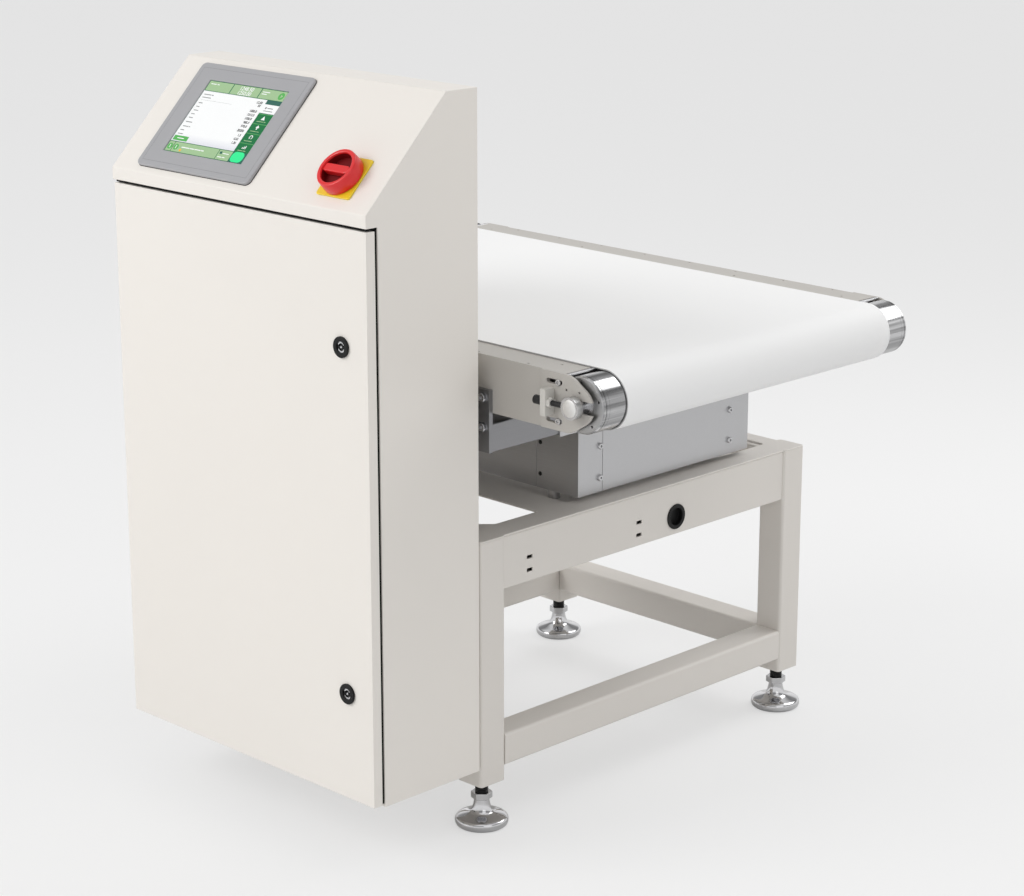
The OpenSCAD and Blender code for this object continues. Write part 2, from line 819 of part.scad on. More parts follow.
// Weigh cell box
module at_box() { translate([-box_w / 2, box_y0, box_z]) children(); }
module box_base() {
    steel() at_box() translate([sheet, sheet, 0])
        cube([box_w - 2 * sheet, box_d - 2 * sheet, base_t]);
}
module corner_zone(grow) {
    for (x = [0, box_w - corner_w]) translate([x - (x > 0 ? grow : cut), -cut, -cut])
        cube([corner_w + grow + cut, sheet + cut, box_h - sheet + cut]);
    for (x = [-cut, box_w - sheet]) translate([x, -cut, -cut])
        cube([sheet + cut, corner_d + grow + cut, box_h - sheet + cut]);
}
module box_shell() {
    steel() at_box() difference() {
        cube([box_w, box_d, box_h]);
        translate([sheet, sheet, -cut]) cube([box_w - 2 * sheet, box_d - 2 * sheet, box_h - sheet + cut]);
        corner_zone(seam);
        translate([box_w / 2, cell_y, box_h - sheet - cut]) cylinder(r = lid_hole_r, h = sheet + 2 * cut);
    }
}
module box_corner_covers() {
    steel() at_box() intersection() {
        difference() {
            cube([box_w, box_d, box_h - sheet]);
            translate([sheet, sheet, -cut]) cube([box_w - 2 * sheet, box_d, box_h + cut]);
        }
        corner_zone(0);
    }
}
module box_feet() {
    steel() at_box() for (x = [-1, 1], y = [box_foot_in, box_d - box_foot_in])
        translate([box_w / 2 + x * box_foot_x, y, -box_foot_h]) cylinder(r = box_foot_r, h = box_foot_h);
}
module box_screws() {
    steel() at_box() for (zs = screw_z_shares) translate([0, 0, box_h * zs]) {
        for (x = [corner_w - 8 * unit, box_w - corner_w + 8 * unit])
            translate([x, -screw_head / 2, 0]) rod_y(screw_r - unit, screw_head / 2);
        for (y = [corner_d - 6 * unit, box_d - side_screw_in], m = [0, 1])
            translate([m * box_w, y, 0]) mirror([1 - m, 0, 0]) rod_x(screw_r, screw_head);
    }
}
// Single-point load cell between a fixed pad and a free pad
module load_cell() {
    color("#c9ccd0") translate([-cell_len / 2, box_y0 + cell_y - cell_side / 2, box_z + base_t]) {
        cube([pad_len, cell_side, pad_t]);
        difference() {
            translate([0, 0, pad_t]) cube([cell_len, cell_side, cell_side]);
            for (x = [-1, 1])
                translate([cell_len / 2 + x * cell_side * cell_hole_at, -cut, pad_t + cell_side / 2])
                    rod_y(cell_side * cell_hole_share, cell_side + 2 * cut);
        }
        translate([cell_len - pad_len, 0, pad_t + cell_side]) cube([pad_len, cell_side, pad_t]);
    }
}
module carrier_post() {
    z0 = box_z + base_t + 2 * pad_t + cell_side;
    steel() translate([0, box_y0 + cell_y, z0]) {
        translate([-post_r, -cell_side / 2, 0])
            cube([cell_len / 2 + post_r, cell_side, transfer_t]);
        translate([0, 0, transfer_t]) cylinder(r = post_r, h = beam_z - carrier_t - z0 - transfer_t);
    }
}
// Tray that joins the post to the two cross beams
module load_carrier() {
    y0 = box_y0 + cell_y - carrier_d / 2;
    steel() translate([0, y0, beam_z - carrier_t]) {
        translate([-beam_span / 2 - carrier_t, 0, 0])
            cube([beam_span + 2 * carrier_t, carrier_d, carrier_t]);
        for (x = [-beam_span / 2 - carrier_t, beam_span / 2])
            translate([x, 0, 0]) cube([carrier_t, carrier_d, carrier_lip]);
    }
}
// Two cross beams, each with an upright end plate outside both side frames
module cross_beams() {
    len = frame_y1 - frame_y0;
    color("#9da3a8") for (x = [-beam_span / 2, beam_span / 2 - beam_w])
        translate([x, frame_y0, beam_z]) {
            tube_y(beam_w, beam_h, len, beam_wall, beam_wall);
            for (y = [-bracket_t, len]) translate([0, y, 0]) cube([beam_w, bracket_t, bracket_h]);
        }
}

// Conveyor
module flange_hole(x, y) {
    translate([x, frame_y0 + y, bed_z - frame_t - cut])
        cylinder(r = flange_hole_r, h = frame_t + 2 * cut);
}
// Slot through bearing plate and side frame, along which the plate is set
module slot_outline() {
    for (x = [-1, 1]) translate([x * (slot_len - slot_w) / 2, 0]) circle(slot_w / 2);
    translate([-(slot_len - slot_w) / 2, -slot_w / 2]) square([slot_len - slot_w, slot_w]);
}
module side_frame() {
    z0 = axis_z - side_h / 2;
    paint() difference() {
        translate([-frame_x, frame_y0, 0]) {
            translate([0, 0, z0]) cube([side_len, frame_t, bed_z - z0]);
            translate([0, 0, bed_z - frame_t]) cube([side_len, flange_w, frame_t]);
            translate([0, 0, z0]) cube([side_len, low_flange, frame_t]);
        }
        for (i = [0 : flange_holes - 1])
            flange_hole((i - (flange_holes - 1) / 2) * flange_pitch, flange_hole_in);
        for (x = inner_hole_x, s = [-1, 1]) flange_hole(s * x, inner_hole_in);
        for (s = [-1, 1]) translate([s * frame_x, frame_y0 - cut, axis_z])
            rod_y(axle_flat * 0.8, frame_t + 2 * cut);
        for (s = [-1, 1], z = [-slot_z, slot_z])
            translate([s * slot_x, frame_y0 + frame_t + cut, axis_z + z])
                rotate([90, 0, 0]) linear_extrude(frame_t + 2 * cut) slot_outline();
    }
}
module side_frame_near() { side_frame(); }
module side_frame_far() {
    translate([0, belt_y0 + belt_y1, 0]) mirror([0, 1, 0]) side_frame();
}
module slider_bed() {
    paint() translate([-frame_x + bed_edge, belt_y0, bed_z - bed_t]) {
        cube([side_len - 2 * bed_edge, belt_w, bed_t]);
        for (y = [0, belt_w - bed_t]) translate([bed_edge * 3, y, -bed_skirt])
            cube([side_len - 8 * bed_edge, bed_t, bed_skirt]);
    }
}
// Flat bars between the end of the bed and each drum
module nose_bars() {
    steel() for (s = [-1, 1]) translate([s * nose_x - nose_w / 2, frame_y0, bed_z - nose_h])
        cube([nose_w, frame_y1 - frame_y0, nose_h]);
}
module belt_section(r) {
    for (s = [-1, 1]) translate([s * half_axis, 0]) circle(r, $fn = 96);
    translate([-half_axis, -r]) square([axis_dist, 2 * r]);
}
module belt() {
    color("#ececec") translate([0, belt_y1, axis_z]) rotate([90, 0, 0])
        linear_extrude(belt_w) difference() {
            belt_section(belt_out_r);
            belt_section(belt_in_r);
        }
}
// Drum: a tube with a chamfered, grooved cap at each end, bored for the bearings
function cap_points(len, m) = [for (p = [
    [bearing_r + play, cap_t], [bearing_r + play, 0], [drum_r - cap_chamfer, 0],
    [drum_r, cap_chamfer], [drum_r, cap_step], [drum_r - cap_groove, cap_step],
    [drum_r - cap_groove, cap_step + cap_groove], [drum_r, cap_step + cap_groove]
]) [p[0], m ? len - p[1] : p[1]]];
module drum() {
    len = drum_y1 - drum_y0;
    near = cap_points(len, false);
    far = cap_points(len, true);
    chrome() translate([0, drum_y0, axis_z]) rotate([-90, 0, 0]) difference() {
        rotate_extrude($fn = 96) polygon(concat(near, [for (i = [len(far) - 1 : -1 : 0]) far[i]],
            [[drum_r - drum_wall, len - cap_t], [drum_r - drum_wall, cap_t]]));
        for (i = [0 : cap_holes - 1], z = [-cut, len - cap_t / 2]) rotate([0, 0, i * 360 / cap_holes - 90])
            translate([cap_hole_at, 0, z]) cylinder(r = cap_hole_r, h = cap_t / 2 + cut);
    }
}
module drive_drum() { translate([-half_axis, 0, 0]) drum(); }
module tail_drum() { translate([half_axis, 0, 0]) drum(); }

// Axle with round ends, flats where the bearing plates hold it, and two bearings
module axle() {
    steel() {
        difference() {
            translate([0, plate_y0 - axle_reach, axis_z])
                rod_y(axle_r, plate_y1 - plate_y0 + 2 * axle_reach);
            for (s = [0, 1]) both_sides() translate([-axle_r - cut, plate_y0 - axle_reach - cut,
                s > 0 ? axis_z + axle_flat / 2 - play : axis_z - axle_r - cut])
                cube([2 * axle_r + 2 * cut, axle_reach + plate_t + frame_t + cut,
                    axle_r - axle_flat / 2 + play + cut]);
        }
        both_sides() translate([0, plate_y0 - axle_reach, axis_z]) rod_y(axle_end_r, axle_end_len);
    }
    color("#7f8184") both_sides() translate([0, drum_y0 + air, axis_z]) difference() {
        rod_y(bearing_r, bearing_t);
        translate([0, -cut, 0]) rod_y(axle_r, bearing_t + 2 * cut);
    }
}
module drive_axle() { translate([-half_axis, 0, 0]) axle(); }
module tail_axle() { translate([half_axis, 0, 0]) axle(); }

// Outline of a bearing plate: square at the frame, drawn in to a round nose
module plate_outline() {
    top = bed_z - axis_z;
    corner = [frame_x + plate_corner_out, top - plate_corner_r];
    nose = [nose_mid - plate_t, 0];
    gap = nose - corner;
    a = acos((plate_corner_r - nose_r) / norm(gap)) + atan2(gap[1], gap[0]);
    dir = [cos(a), sin(a)];
    for (m = [0, 1]) mirror([0, m]) {
        translate(corner) circle(plate_corner_r);
        translate(nose) circle(nose_r);
        polygon([[plate_x0, 0], [plate_x0, top], [corner[0], top], corner + plate_corner_r * dir,
            nose + nose_r * dir, nose]);
    }
}
module bearing_plate() {
    difference() {
        plate_outline();
        translate([half_axis - tension_travel - axle_r - 4 * unit, 0]) circle(axle_flat / 2);
        translate([half_axis - tension_travel - axle_r - 4 * unit, -axle_flat / 2])
            square([nose_r * 4, axle_flat]);
        for (z = [-slot_z, slot_z]) translate([slot_x, z]) slot_outline();
        for (x = small_x) translate([x, small_z]) circle(small_r);
    }
}
module bearing_plates() {
    paint() both_sides() for (m = [0, 1]) mirror([m, 0, 0]) translate([0, plate_y0 + plate_t, axis_z])
        rotate([90, 0, 0]) linear_extrude(plate_t) bearing_plate();
}
module tension_blocks() {
    both_sides() translate([block_x, plate_y0 - block_d, axis_z]) {
        ivory() difference() {
            translate([0, 0, -block_h / 2]) cube([block_t, block_d, block_h]);
            translate([-cut, screw_y, 0]) rod_x(screw_m_r + play, block_t + 2 * cut);
        }
        steel() translate([block_t, screw_y, 0]) difference() {
            rotate([0, 90, 0]) cylinder(r = nut_r, h = nut_t, $fn = 6);
            translate([-cut, 0, 0]) rod_x(screw_m_r + play, nut_t + 2 * cut);
        }
    }
}
module tension_screws() {
    dark() both_sides() translate([block_x - head_len - air, plate_y0 - block_d + screw_y, axis_z]) {
        difference() {
            rod_x(head_r, head_len);
            translate([-cut, 0, 0]) rotate([0, 90, 0])
                cylinder(r = screw_m_r, h = head_len / 2 + cut, $fn = 6);
        }
        translate([head_len, 0, 0]) rod_x(screw_m_r, half_axis - axle_end_r - play - block_x + air);
    }
}
// Screws of the bearing plates and bolts of the brackets
module conveyor_screws() {
    steel() both_sides() {
        for (m = [0, 1]) mirror([m, 0, 0]) for (z = [-slot_z, slot_z])
            translate([slot_x + slot_screw, plate_y0 - screw_head, axis_z + z])
                rod_y(screw_r + unit / 2, screw_head);
        for (x = [-1, 1], d = [-bolt_dx, bolt_dx], z = [beam_h * 0.86, bracket_h - 11.5 * unit])
            translate([x * (beam_span - beam_w) / 2 + d, frame_y0 - bracket_t - bolt_head, beam_z + z])
                rod_y(bolt_r, bolt_head);
    }
}

leg_front_right();
leg_front_left();
leg_rear_right();
leg_rear_left();
upper_rail_right();
upper_rail_left();
upper_rail_front();
upper_rail_rear();
lower_side_rails();
lower_cross_rails();
top_plate();
support_bars();
rail_plugs();
foot_front_right();
foot_front_left();
foot_rear_right();
foot_rear_left();
cabinet_sides();
cabinet_back();
cabinet_floor();
cabinet_front();
cabinet_hood();
cabinet_standoffs();
door();
door_gasket();
door_hinges();
lock_housings();
lock_cam_upper();
lock_cam_lower();
hmi_bezel();
hmi_glass();
hmi_housing();
switch_plate();
switch_knob();
switch_body();
mounting_plate();
power_supply();
weigh_controller();
drum_inverter();
terminal_strip();
cable_glands();
box_base();
box_shell();
box_corner_covers();
box_feet();
box_screws();
load_cell();
carrier_post();
load_carrier();
cross_beams();
side_frame_near();
side_frame_far();
slider_bed();
nose_bars();
belt();
drive_drum();
drive_axle();
tail_drum();
tail_axle();
bearing_plates();
tension_blocks();
tension_screws();
conveyor_screws();
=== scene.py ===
"""Dresses the checkweigher: finishes, rounded edges, screen page, fasteners and studio."""

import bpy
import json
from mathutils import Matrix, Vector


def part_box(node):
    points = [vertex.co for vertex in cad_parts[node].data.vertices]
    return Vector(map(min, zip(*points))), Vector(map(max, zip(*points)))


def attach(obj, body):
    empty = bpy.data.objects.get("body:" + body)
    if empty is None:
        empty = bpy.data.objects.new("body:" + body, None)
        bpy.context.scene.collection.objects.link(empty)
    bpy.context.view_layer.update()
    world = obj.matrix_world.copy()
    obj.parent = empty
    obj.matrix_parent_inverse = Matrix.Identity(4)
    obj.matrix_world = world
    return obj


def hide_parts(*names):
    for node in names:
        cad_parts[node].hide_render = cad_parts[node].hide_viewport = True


bl_info = {
    "name": "Checkweigher dressing",
    "version": (1, 0, 0),
    "blender": (4, 5, 0),
    "location": "3D View > Sidebar > Checkweigher",
    "description": "Finishes, fasteners, screen page and studio for the checkweigher",
    "category": "Object",
}

import json
import math

import bmesh
import bpy
from mathutils import Matrix, Vector

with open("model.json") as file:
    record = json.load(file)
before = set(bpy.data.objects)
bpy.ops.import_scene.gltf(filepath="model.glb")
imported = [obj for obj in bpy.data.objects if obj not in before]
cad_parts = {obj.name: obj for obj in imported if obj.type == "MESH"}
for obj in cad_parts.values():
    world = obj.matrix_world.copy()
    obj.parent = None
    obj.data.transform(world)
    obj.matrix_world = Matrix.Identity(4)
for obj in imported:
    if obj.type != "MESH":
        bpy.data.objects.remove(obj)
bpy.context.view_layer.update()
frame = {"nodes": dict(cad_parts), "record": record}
NODES = frame["nodes"]
MM = 0.001


def middle(node):
    low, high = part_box(node)
    return (low + high) / 2


# ---------------------------------------------------------------- shader tools


class Wire:
    """A shader socket that can be used in plain arithmetic."""

    def __init__(self, paint, socket):
        self.paint = paint
        self.socket = socket

    def _maths(self, operation, *values, clamp=False):
        return self.paint.add("ShaderNodeMath", {"operation": operation, "use_clamp": clamp}, *values)

    def __add__(self, other):
        return self._maths("ADD", self, other)

    __radd__ = __add__

    def __mul__(self, other):
        return self._maths("MULTIPLY", self, other)

    __rmul__ = __mul__

    def __sub__(self, other):
        return self._maths("SUBTRACT", self, other)

    def __rsub__(self, other):
        return self._maths("SUBTRACT", other, self)

    def __gt__(self, other):
        return self._maths("GREATER_THAN", self, other)

    def __lt__(self, other):
        return self._maths("LESS_THAN", self, other)

    def __abs__(self):
        return self._maths("ABSOLUTE", self)

    def clamped(self):
        return self._maths("ADD", self, 0.0, clamp=True)

    def wrapped(self, period):
        return self._maths("PINGPONG", self, period)

    def larger(self, other):
        return self._maths("MAXIMUM", self, other)


class Shading:
    """A shader tree under construction, of a material or of the world."""

    def __init__(self, tree, end):
        self.tree = tree
        self.tree.nodes.clear()
        self.end = self.tree.nodes.new(end)

    def finish_with(self, wire):
        self.tree.links.new(wire.socket, self.end.inputs[0])

    def add(self, kind, settings=None, *values, output=0, **named):
        node = self.tree.nodes.new(kind)
        for key, value in (settings or {}).items():
            if key == "stops":
                ramp = node.color_ramp
                while len(ramp.elements) < len(value):
                    ramp.elements.new(0.5)
                for element, (place, colour) in zip(ramp.elements, value):
                    element.position = place
                    element.color = colour
            else:
                setattr(node, key, value)
        pairs = list(zip(range(len(values)), values)) + list(named.items())
        for key, value in pairs:
            socket = node.inputs[key if isinstance(key, int) else key.replace("_", " ")]
            if isinstance(value, Wire):
                self.tree.links.new(value.socket, socket)
            elif value is not None:
                socket.default_value = value
        return Wire(self, node.outputs[output])

    def mix(self, share, first, second):
        node = self.tree.nodes.new("ShaderNodeMix")
        node.data_type = "RGBA"
        for key, value in ((0, share), (6, first), (7, second)):
            if isinstance(value, Wire):
                self.tree.links.new(value.socket, node.inputs[key])
            elif key == 0:
                node.inputs[key].default_value = value
            else:
                node.inputs[key].default_value = (*value[:3], 1.0)
        return Wire(self, node.outputs[2])


class Paint(Shading):
    """A material under construction."""

    def __init__(self, name):
        self.material = bpy.data.materials.new(name)
        self.material.use_nodes = True
        super().__init__(self.material.node_tree, "ShaderNodeOutputMaterial")
        self.shader = self.tree.nodes.new("ShaderNodeBsdfPrincipled")
        self.surface = Wire(self, self.shader.outputs[0])
        self.finish_with(self.surface)

    def place(self):
        return self.add("ShaderNodeTexCoord", output="Object")

    def stretched(self, x, y, z, turn=(0, 0, 0)):
        return self.add("ShaderNodeMapping", {}, self.place(), Scale=(x, y, z), Rotation=turn)

    def axis(self, letter):
        return self.add("ShaderNodeSeparateXYZ", {}, self.place(), output=letter)

    def noise(self, scale, detail=3.0, rough=0.5, vector=None):
        where = vector or self.place()
        return self.add("ShaderNodeTexNoise", {}, Vector=where, Scale=scale, Detail=detail, Roughness=rough)

    def bump(self, height, strength, distance):
        normal = self.add("ShaderNodeBump", {}, Strength=strength, Distance=distance, Height=height)
        self.set(Normal=normal)

    def set(self, **values):
        for key, value in values.items():
            socket = self.shader.inputs[key.replace("_", " ")]
            if isinstance(value, Wire):
                self.tree.links.new(value.socket, socket)
            elif socket.type == "RGBA":
                socket.default_value = (*value[:3], 1.0)
            else:
                socket.default_value = value


def shade(colour, factor):
    return tuple(channel * factor for channel in colour[:3])


def powder_coat(name, colour, grain=1.0, gloss=0.42):
    """Sprayed and baked paint: fine orange peel, a faint cloud of tone and a few specks."""
    paint = Paint(name)
    cloud = paint.noise(2.2, 4.0, 0.55)
    speck = paint.noise(900.0, 2.0, 0.6)
    tone = paint.mix(cloud, shade(colour, 0.975), shade(colour, 1.012))
    tone = paint.mix((speck > 0.70) * 0.10, tone, shade(colour, 0.86))
    paint.set(Base_Color=tone, Roughness=(cloud * 0.08 + (gloss - 0.04)), Metallic=0.0)
    peel = paint.noise(420.0, 2.0, 0.45)
    paint.bump(peel, 0.10 * grain, 0.0006)
    return paint.material


def brushed(name, colour, along="x", rough=0.30, depth=1.0):
    """Ground sheet steel with fine lines along one axis and cloudy reflections."""
    paint = Paint(name)
    fine = [14.0 if letter == along else 1500.0 for letter in "xyz"]
    lines = paint.noise(1.0, 4.0, 0.65, paint.stretched(*fine))
    broad = paint.noise(1.0, 2.0, 0.5, paint.stretched(*[v * 0.12 for v in fine]))
    cloud = paint.noise(6.0, 3.0, 0.5)
    tone = paint.mix(lines, shade(colour, 0.84), shade(colour, 1.10))
    tone = paint.mix(broad * 0.5, tone, shade(colour, 0.93))
    paint.set(Base_Color=tone, Metallic=1.0)
    paint.set(Roughness=lines * 0.16 + cloud * 0.08 + (rough - 0.12))
    paint.bump(lines, 0.10 * depth, 0.0003)
    return paint.material


# Radius past which a drum shows its shell, and the painted shade lines that stand for the shell's grooves:
# distance from its end, half width
SHELL_RADIUS = 0.0396
GROOVE_SHADE_LINES = ((0.0058, 0.0004), (0.0078, 0.0002), (0.0125, 0.00025))


def turned(name, colour, rough):
    """Turned steel of a drum: painted reflection streaks along its shell, rings on its caps, painted shade
    lines for fine grooves near them.
    """
    paint = Paint(name)
    rings = paint.noise(1.0, 3.0, 0.6, paint.stretched(3.0, 2400.0, 3.0))
    # Dark streaks along the shell are painted reflections
    reflection_streaks = paint.noise(1.0, 3.0, 0.65, paint.stretched(62.0, 1.6, 62.0))
    scuff = paint.noise(38.0, 4.0, 0.6)
    tone = paint.mix(rings, shade(colour, 0.94), shade(colour, 1.04))
    tone = paint.mix(((reflection_streaks - 0.46) * 5.0).clamped(), shade(colour, 0.42), tone)
    # Distance from the drum's axis, the same for both drums
    axle = middle("tail_axle")
    out = abs(paint.axis("X")) - axle.x
    up = paint.axis("Z") - axle.z
    away = out * out + up * up
    turns = paint.noise(1.0, 3.0, 0.6, paint.add("ShaderNodeCombineXYZ", {}, X=away * 26000.0))
    face = paint.mix(turns, shade(colour, 0.50), shade(colour, 0.62))
    shell = away > SHELL_RADIUS * SHELL_RADIUS
    tone = paint.mix(shell, face, tone)
    # Near-black lines near both ends paint the shade of grooves in the shell
    low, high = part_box("tail_drum")
    y = paint.axis("Y")
    groove_shade = 0.0
    for end, way in ((low.y, 1), (high.y, -1)):
        for reach, half in GROOVE_SHADE_LINES:
            groove_shade = (abs(y - (end + way * reach)) < half) + groove_shade
    tone = paint.mix(groove_shade * 0.75, tone, shade(colour, 0.16))
    matt = (1.0 - shell) * 0.20
    paint.set(Base_Color=tone, Metallic=1.0, Roughness=rings * 0.06 + scuff * 0.06 + matt + (rough - 0.06))
    paint.bump(rings, 0.05, 0.0002)
    return paint.material


def chromed(name, colour, rough=0.07):
    """Plated steel with the faint waviness of a polished casting."""
    paint = Paint(name)
    wave = paint.noise(46.0, 3.0, 0.5)
    smear = paint.noise(160.0, 4.0, 0.6)
    tone = paint.mix(smear, shade(colour, 0.95), shade(colour, 1.02))
    paint.set(Base_Color=tone, Metallic=1.0, Roughness=smear * 0.06 + (rough - 0.02))
    paint.bump(wave, 0.05, 0.0010)
    return paint.material


def moulded(name, colour, rough=0.45, grain=1.0, coat=0.0, shine=0.5):
    """Injection-moulded plastic with a fine spark-eroded grain."""
    paint = Paint(name)
    paint.set(Specular_IOR_Level=shine)
    grit = paint.noise(1500.0, 2.0, 0.5)
    cloud = paint.noise(14.0, 3.0, 0.5)
    tone = paint.mix(cloud, shade(colour, 0.94), shade(colour, 1.05))
    paint.set(Base_Color=tone, Roughness=grit * 0.12 + (rough - 0.06), Coat_Weight=coat)
    paint.bump(grit, 0.12 * grain, 0.0002)
    return paint.material


def rubber(name, colour):
    """Matt black rubber with a little dust."""
    paint = Paint(name)
    dust = paint.noise(60.0, 5.0, 0.6)
    paint.set(Base_Color=paint.mix(dust, shade(colour, 0.8), shade(colour, 1.3)), Roughness=dust * 0.2 + 0.6)
    paint.bump(paint.noise(700.0, 3.0, 0.6), 0.2, 0.0003)
    return paint.material


def belt_cover(name, colour, edge_colour, edge=0.0007):
    """White coated conveyor belting: fine fabric print-through and a grey cut edge."""
    paint = Paint(name)
    low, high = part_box("belt")
    x, y = (paint.axis(letter) for letter in "XY")
    weft = (x * 2400.0).wrapped(1.0)
    warp = (y * 2400.0).wrapped(1.0)
    weave = (weft * warp).clamped()
    cloud = paint.noise(3.0, 4.0, 0.5)
    wear = paint.noise(1.0, 3.0, 0.6, paint.stretched(0.8, 46.0, 0.8))
    tone = paint.mix(cloud, shade(colour, 0.982), shade(colour, 1.01))
    tone = paint.mix(wear * 0.10, tone, shade(colour, 0.93))
    rim = ((y < low.y + edge) + (y > high.y - edge)).clamped()
    tone = paint.mix(rim * 0.9, tone, edge_colour)
    paint.set(Base_Color=tone, Roughness=wear * 0.10 + weave * 0.05 + 0.55)
    paint.set(Specular_IOR_Level=0.25)
    paint.bump(weave * 0.5 + cloud * 0.5, 0.06, 0.0003)
    return paint.material


def lit_screen(name, colour, glow=0.45):
    """A field of the display: its colour behind a fine pixel grid."""
    paint = Paint(name)
    x, z = (paint.axis(letter) for letter in "XZ")
    grid = ((x * 3900.0).wrapped(1.0) > 0.06) * ((z * 5400.0).wrapped(1.0) > 0.06)
    tone = paint.mix(grid, shade(colour, 0.90), colour)
    paint.set(Base_Color=tone, Emission_Color=tone, Roughness=0.22)
    paint.set(Emission_Strength=glow, Specular_IOR_Level=0.3, Coat_Weight=0.15, Coat_Roughness=0.08)
    return paint.material


# ---------------------------------------------------------------- mesh tools


def linked(name, data):
    """A new object in the scene."""
    made = bpy.data.objects.new(name, data)
    bpy.context.scene.collection.objects.link(made)
    return made


def finish_mesh(mesh, name, coating, angle=35):
    """A mesh in one finish with its edges sharp from an angle, as a named object in the scene."""
    mesh.materials.clear()
    mesh.materials.append(finish(coating))
    for polygon in mesh.polygons:
        polygon.use_smooth = True
        polygon.material_index = 0
    mesh.set_sharp_from_angle(angle=math.radians(angle))
    return linked(name, mesh)


def evaluated(made):
    """The mesh that an object's modifiers or curve make."""
    graph = bpy.context.evaluated_depsgraph_get()
    graph.update()
    return bpy.data.meshes.new_from_object(made.evaluated_get(graph), depsgraph=graph)


def taken(made):
    """The mesh that an object makes, without the object."""
    mesh = evaluated(made)
    bpy.data.objects.remove(made)
    return mesh


def baked(made):
    """The object with its modifiers applied, and no modifier left."""
    mesh = evaluated(made)
    made.modifiers.clear()
    made.data = mesh
    mesh.name = made.name
    return made


def body_of_node(node):
    for body, nodes in frame["record"]["behaviour"]["bodies"].items():
        if node in nodes:
            return body
    raise RuntimeError("no body holds " + node)


def place_piece(made, body, slot, instead=()):
    """Fixes a piece to its body, instead of solids; its slot is not used."""
    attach(made, body)
    if instead:
        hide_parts(*instead)


def slot_of_node(node):
    for entry in frame["record"]["subparts"]:
        if entry["node"] == node:
            return entry["material_slot"]
    raise RuntimeError("no slot for " + node)


def stand_for(made, *nodes):
    """Places a piece instead of solids, on the body of the first."""
    place_piece(made, body_of_node(nodes[0]), slot_of_node(nodes[0]), nodes)


def cleaned(source, mesh):
    """Fills a mesh with another's closed net, its doubles merged and its flat triangles joined."""
    net = bmesh.new()
    net.from_mesh(source)
    bmesh.ops.remove_doubles(net, verts=net.verts, dist=3e-6)
    bmesh.ops.dissolve_limit(net, angle_limit=math.radians(0.6), verts=net.verts, edges=net.edges)
    net.to_mesh(mesh)
    net.free()
    return mesh


def net_mesh(net, name, turn):
    """A net as a mesh with its faces outwards, placed by a matrix."""
    bmesh.ops.recalc_face_normals(net, faces=net.faces)
    mesh = bpy.data.meshes.new(name)
    net.to_mesh(mesh)
    net.free()
    mesh.transform(turn)
    return mesh


def merged_copy(node):
    """A copy of a solid's mesh that can be eased."""
    mesh = cleaned(NODES[node].data, bpy.data.meshes.new(node + "_eased"))
    for layer in [a for a in mesh.attributes if a.name in ("custom_normal", "sharp_face", "sharp_edge")]:
        mesh.attributes.remove(layer)
    return mesh


def ease_edges(made, edge, steps, angle, tight=False):
    """Rounds the edges over an angle by edge millimetres, or by less where faces are tight."""
    bevel = made.modifiers.new("edge", "BEVEL")
    bevel.width = edge * MM
    bevel.segments = steps
    bevel.limit_method = "ANGLE"
    bevel.angle_limit = math.radians(angle)
    bevel.use_clamp_overlap = tight
    bevel.harden_normals = False
    weigh = made.modifiers.new("shade", "WEIGHTED_NORMAL")
    weigh.keep_sharp = True
    return baked(made)


def eased(node, coating, edge=0.5, steps=2, angle=30, tight=False):
    """A copy of a solid with its sharp edges rounded, that stands for the solid."""
    made = finish_mesh(merged_copy(node), node + "_eased", coating, angle)
    stand_for(ease_edges(made, edge, steps, angle, tight), node)


def welded(nodes, name, coating, edge, steps, angle=30):
    """Solids that meet in seams, made one skin that stands for them all."""
    first, *others = [finish_mesh(merged_copy(node), node + "_copy", coating, angle) for node in nodes]
    for other in others:
        join = first.modifiers.new("weld", "BOOLEAN")
        join.operation = "UNION"
        join.solver = "EXACT"
        join.object = other
    baked(first)
    for other in others:
        bpy.data.objects.remove(other)
    cleaned(first.data, first.data)
    first.name = name
    stand_for(ease_edges(first, edge, steps, angle), *nodes)


def coat(node, coating):
    """The solid as it is, with a finish in each of its material slots."""
    for place in NODES[node].material_slots:
        place.material = finish(coating)


def lathe(profile, steps, turn, coating, name, close=False):
    """A turned shape: profile points (radius, height) in millimetres about a matrix's z."""
    net = bmesh.new()
    rings = []
    for radius, height in profile:
        if radius < 1e-6:
            rings.append([net.verts.new(Vector((0, 0, height * MM)))])
            continue
        ring = []
        for i in range(steps):
            a = 2 * math.pi * i / steps
            ring.append(net.verts.new(Vector((radius * math.cos(a), radius * math.sin(a), height)) * MM))
        rings.append(ring)
    loops = list(zip(rings, rings[1:])) + ([(rings[-1], rings[0])] if close else [])
    for low, high in loops:
        for i in range(steps):
            j = (i + 1) % steps
            if len(low) == 1 and len(high) == 1:
                break
            if len(low) == 1:
                net.faces.new((low[0], high[j], high[i]))
            elif len(high) == 1:
                net.faces.new((low[i], low[j], high[0]))
            else:
                net.faces.new((low[i], low[j], high[j], high[i]))
    return finish_mesh(net_mesh(net, name, turn), name, coating)


def prism(outline, low, high, turn, coating, name, edge=0.0):
    """An outline in millimetres drawn up from low to high, placed by a matrix."""
    net = bmesh.new()
    base = [net.verts.new(Vector((x, y, low)) * MM) for x, y in outline]
    face = net.faces.new(base)
    made = bmesh.ops.extrude_face_region(net, geom=[face])
    lifted = [item for item in made["geom"] if isinstance(item, bmesh.types.BMVert)]
    bmesh.ops.translate(net, verts=lifted, vec=Vector((0, 0, (high - low) * MM)))
    piece = finish_mesh(net_mesh(net, name, turn), name, coating)
    return ease_edges(piece, edge, 3, 40, tight=True) if edge else piece


def oblong(x0, y0, x1, y1):
    return [(x0, y0), (x1, y0), (x1, y1), (x0, y1)]


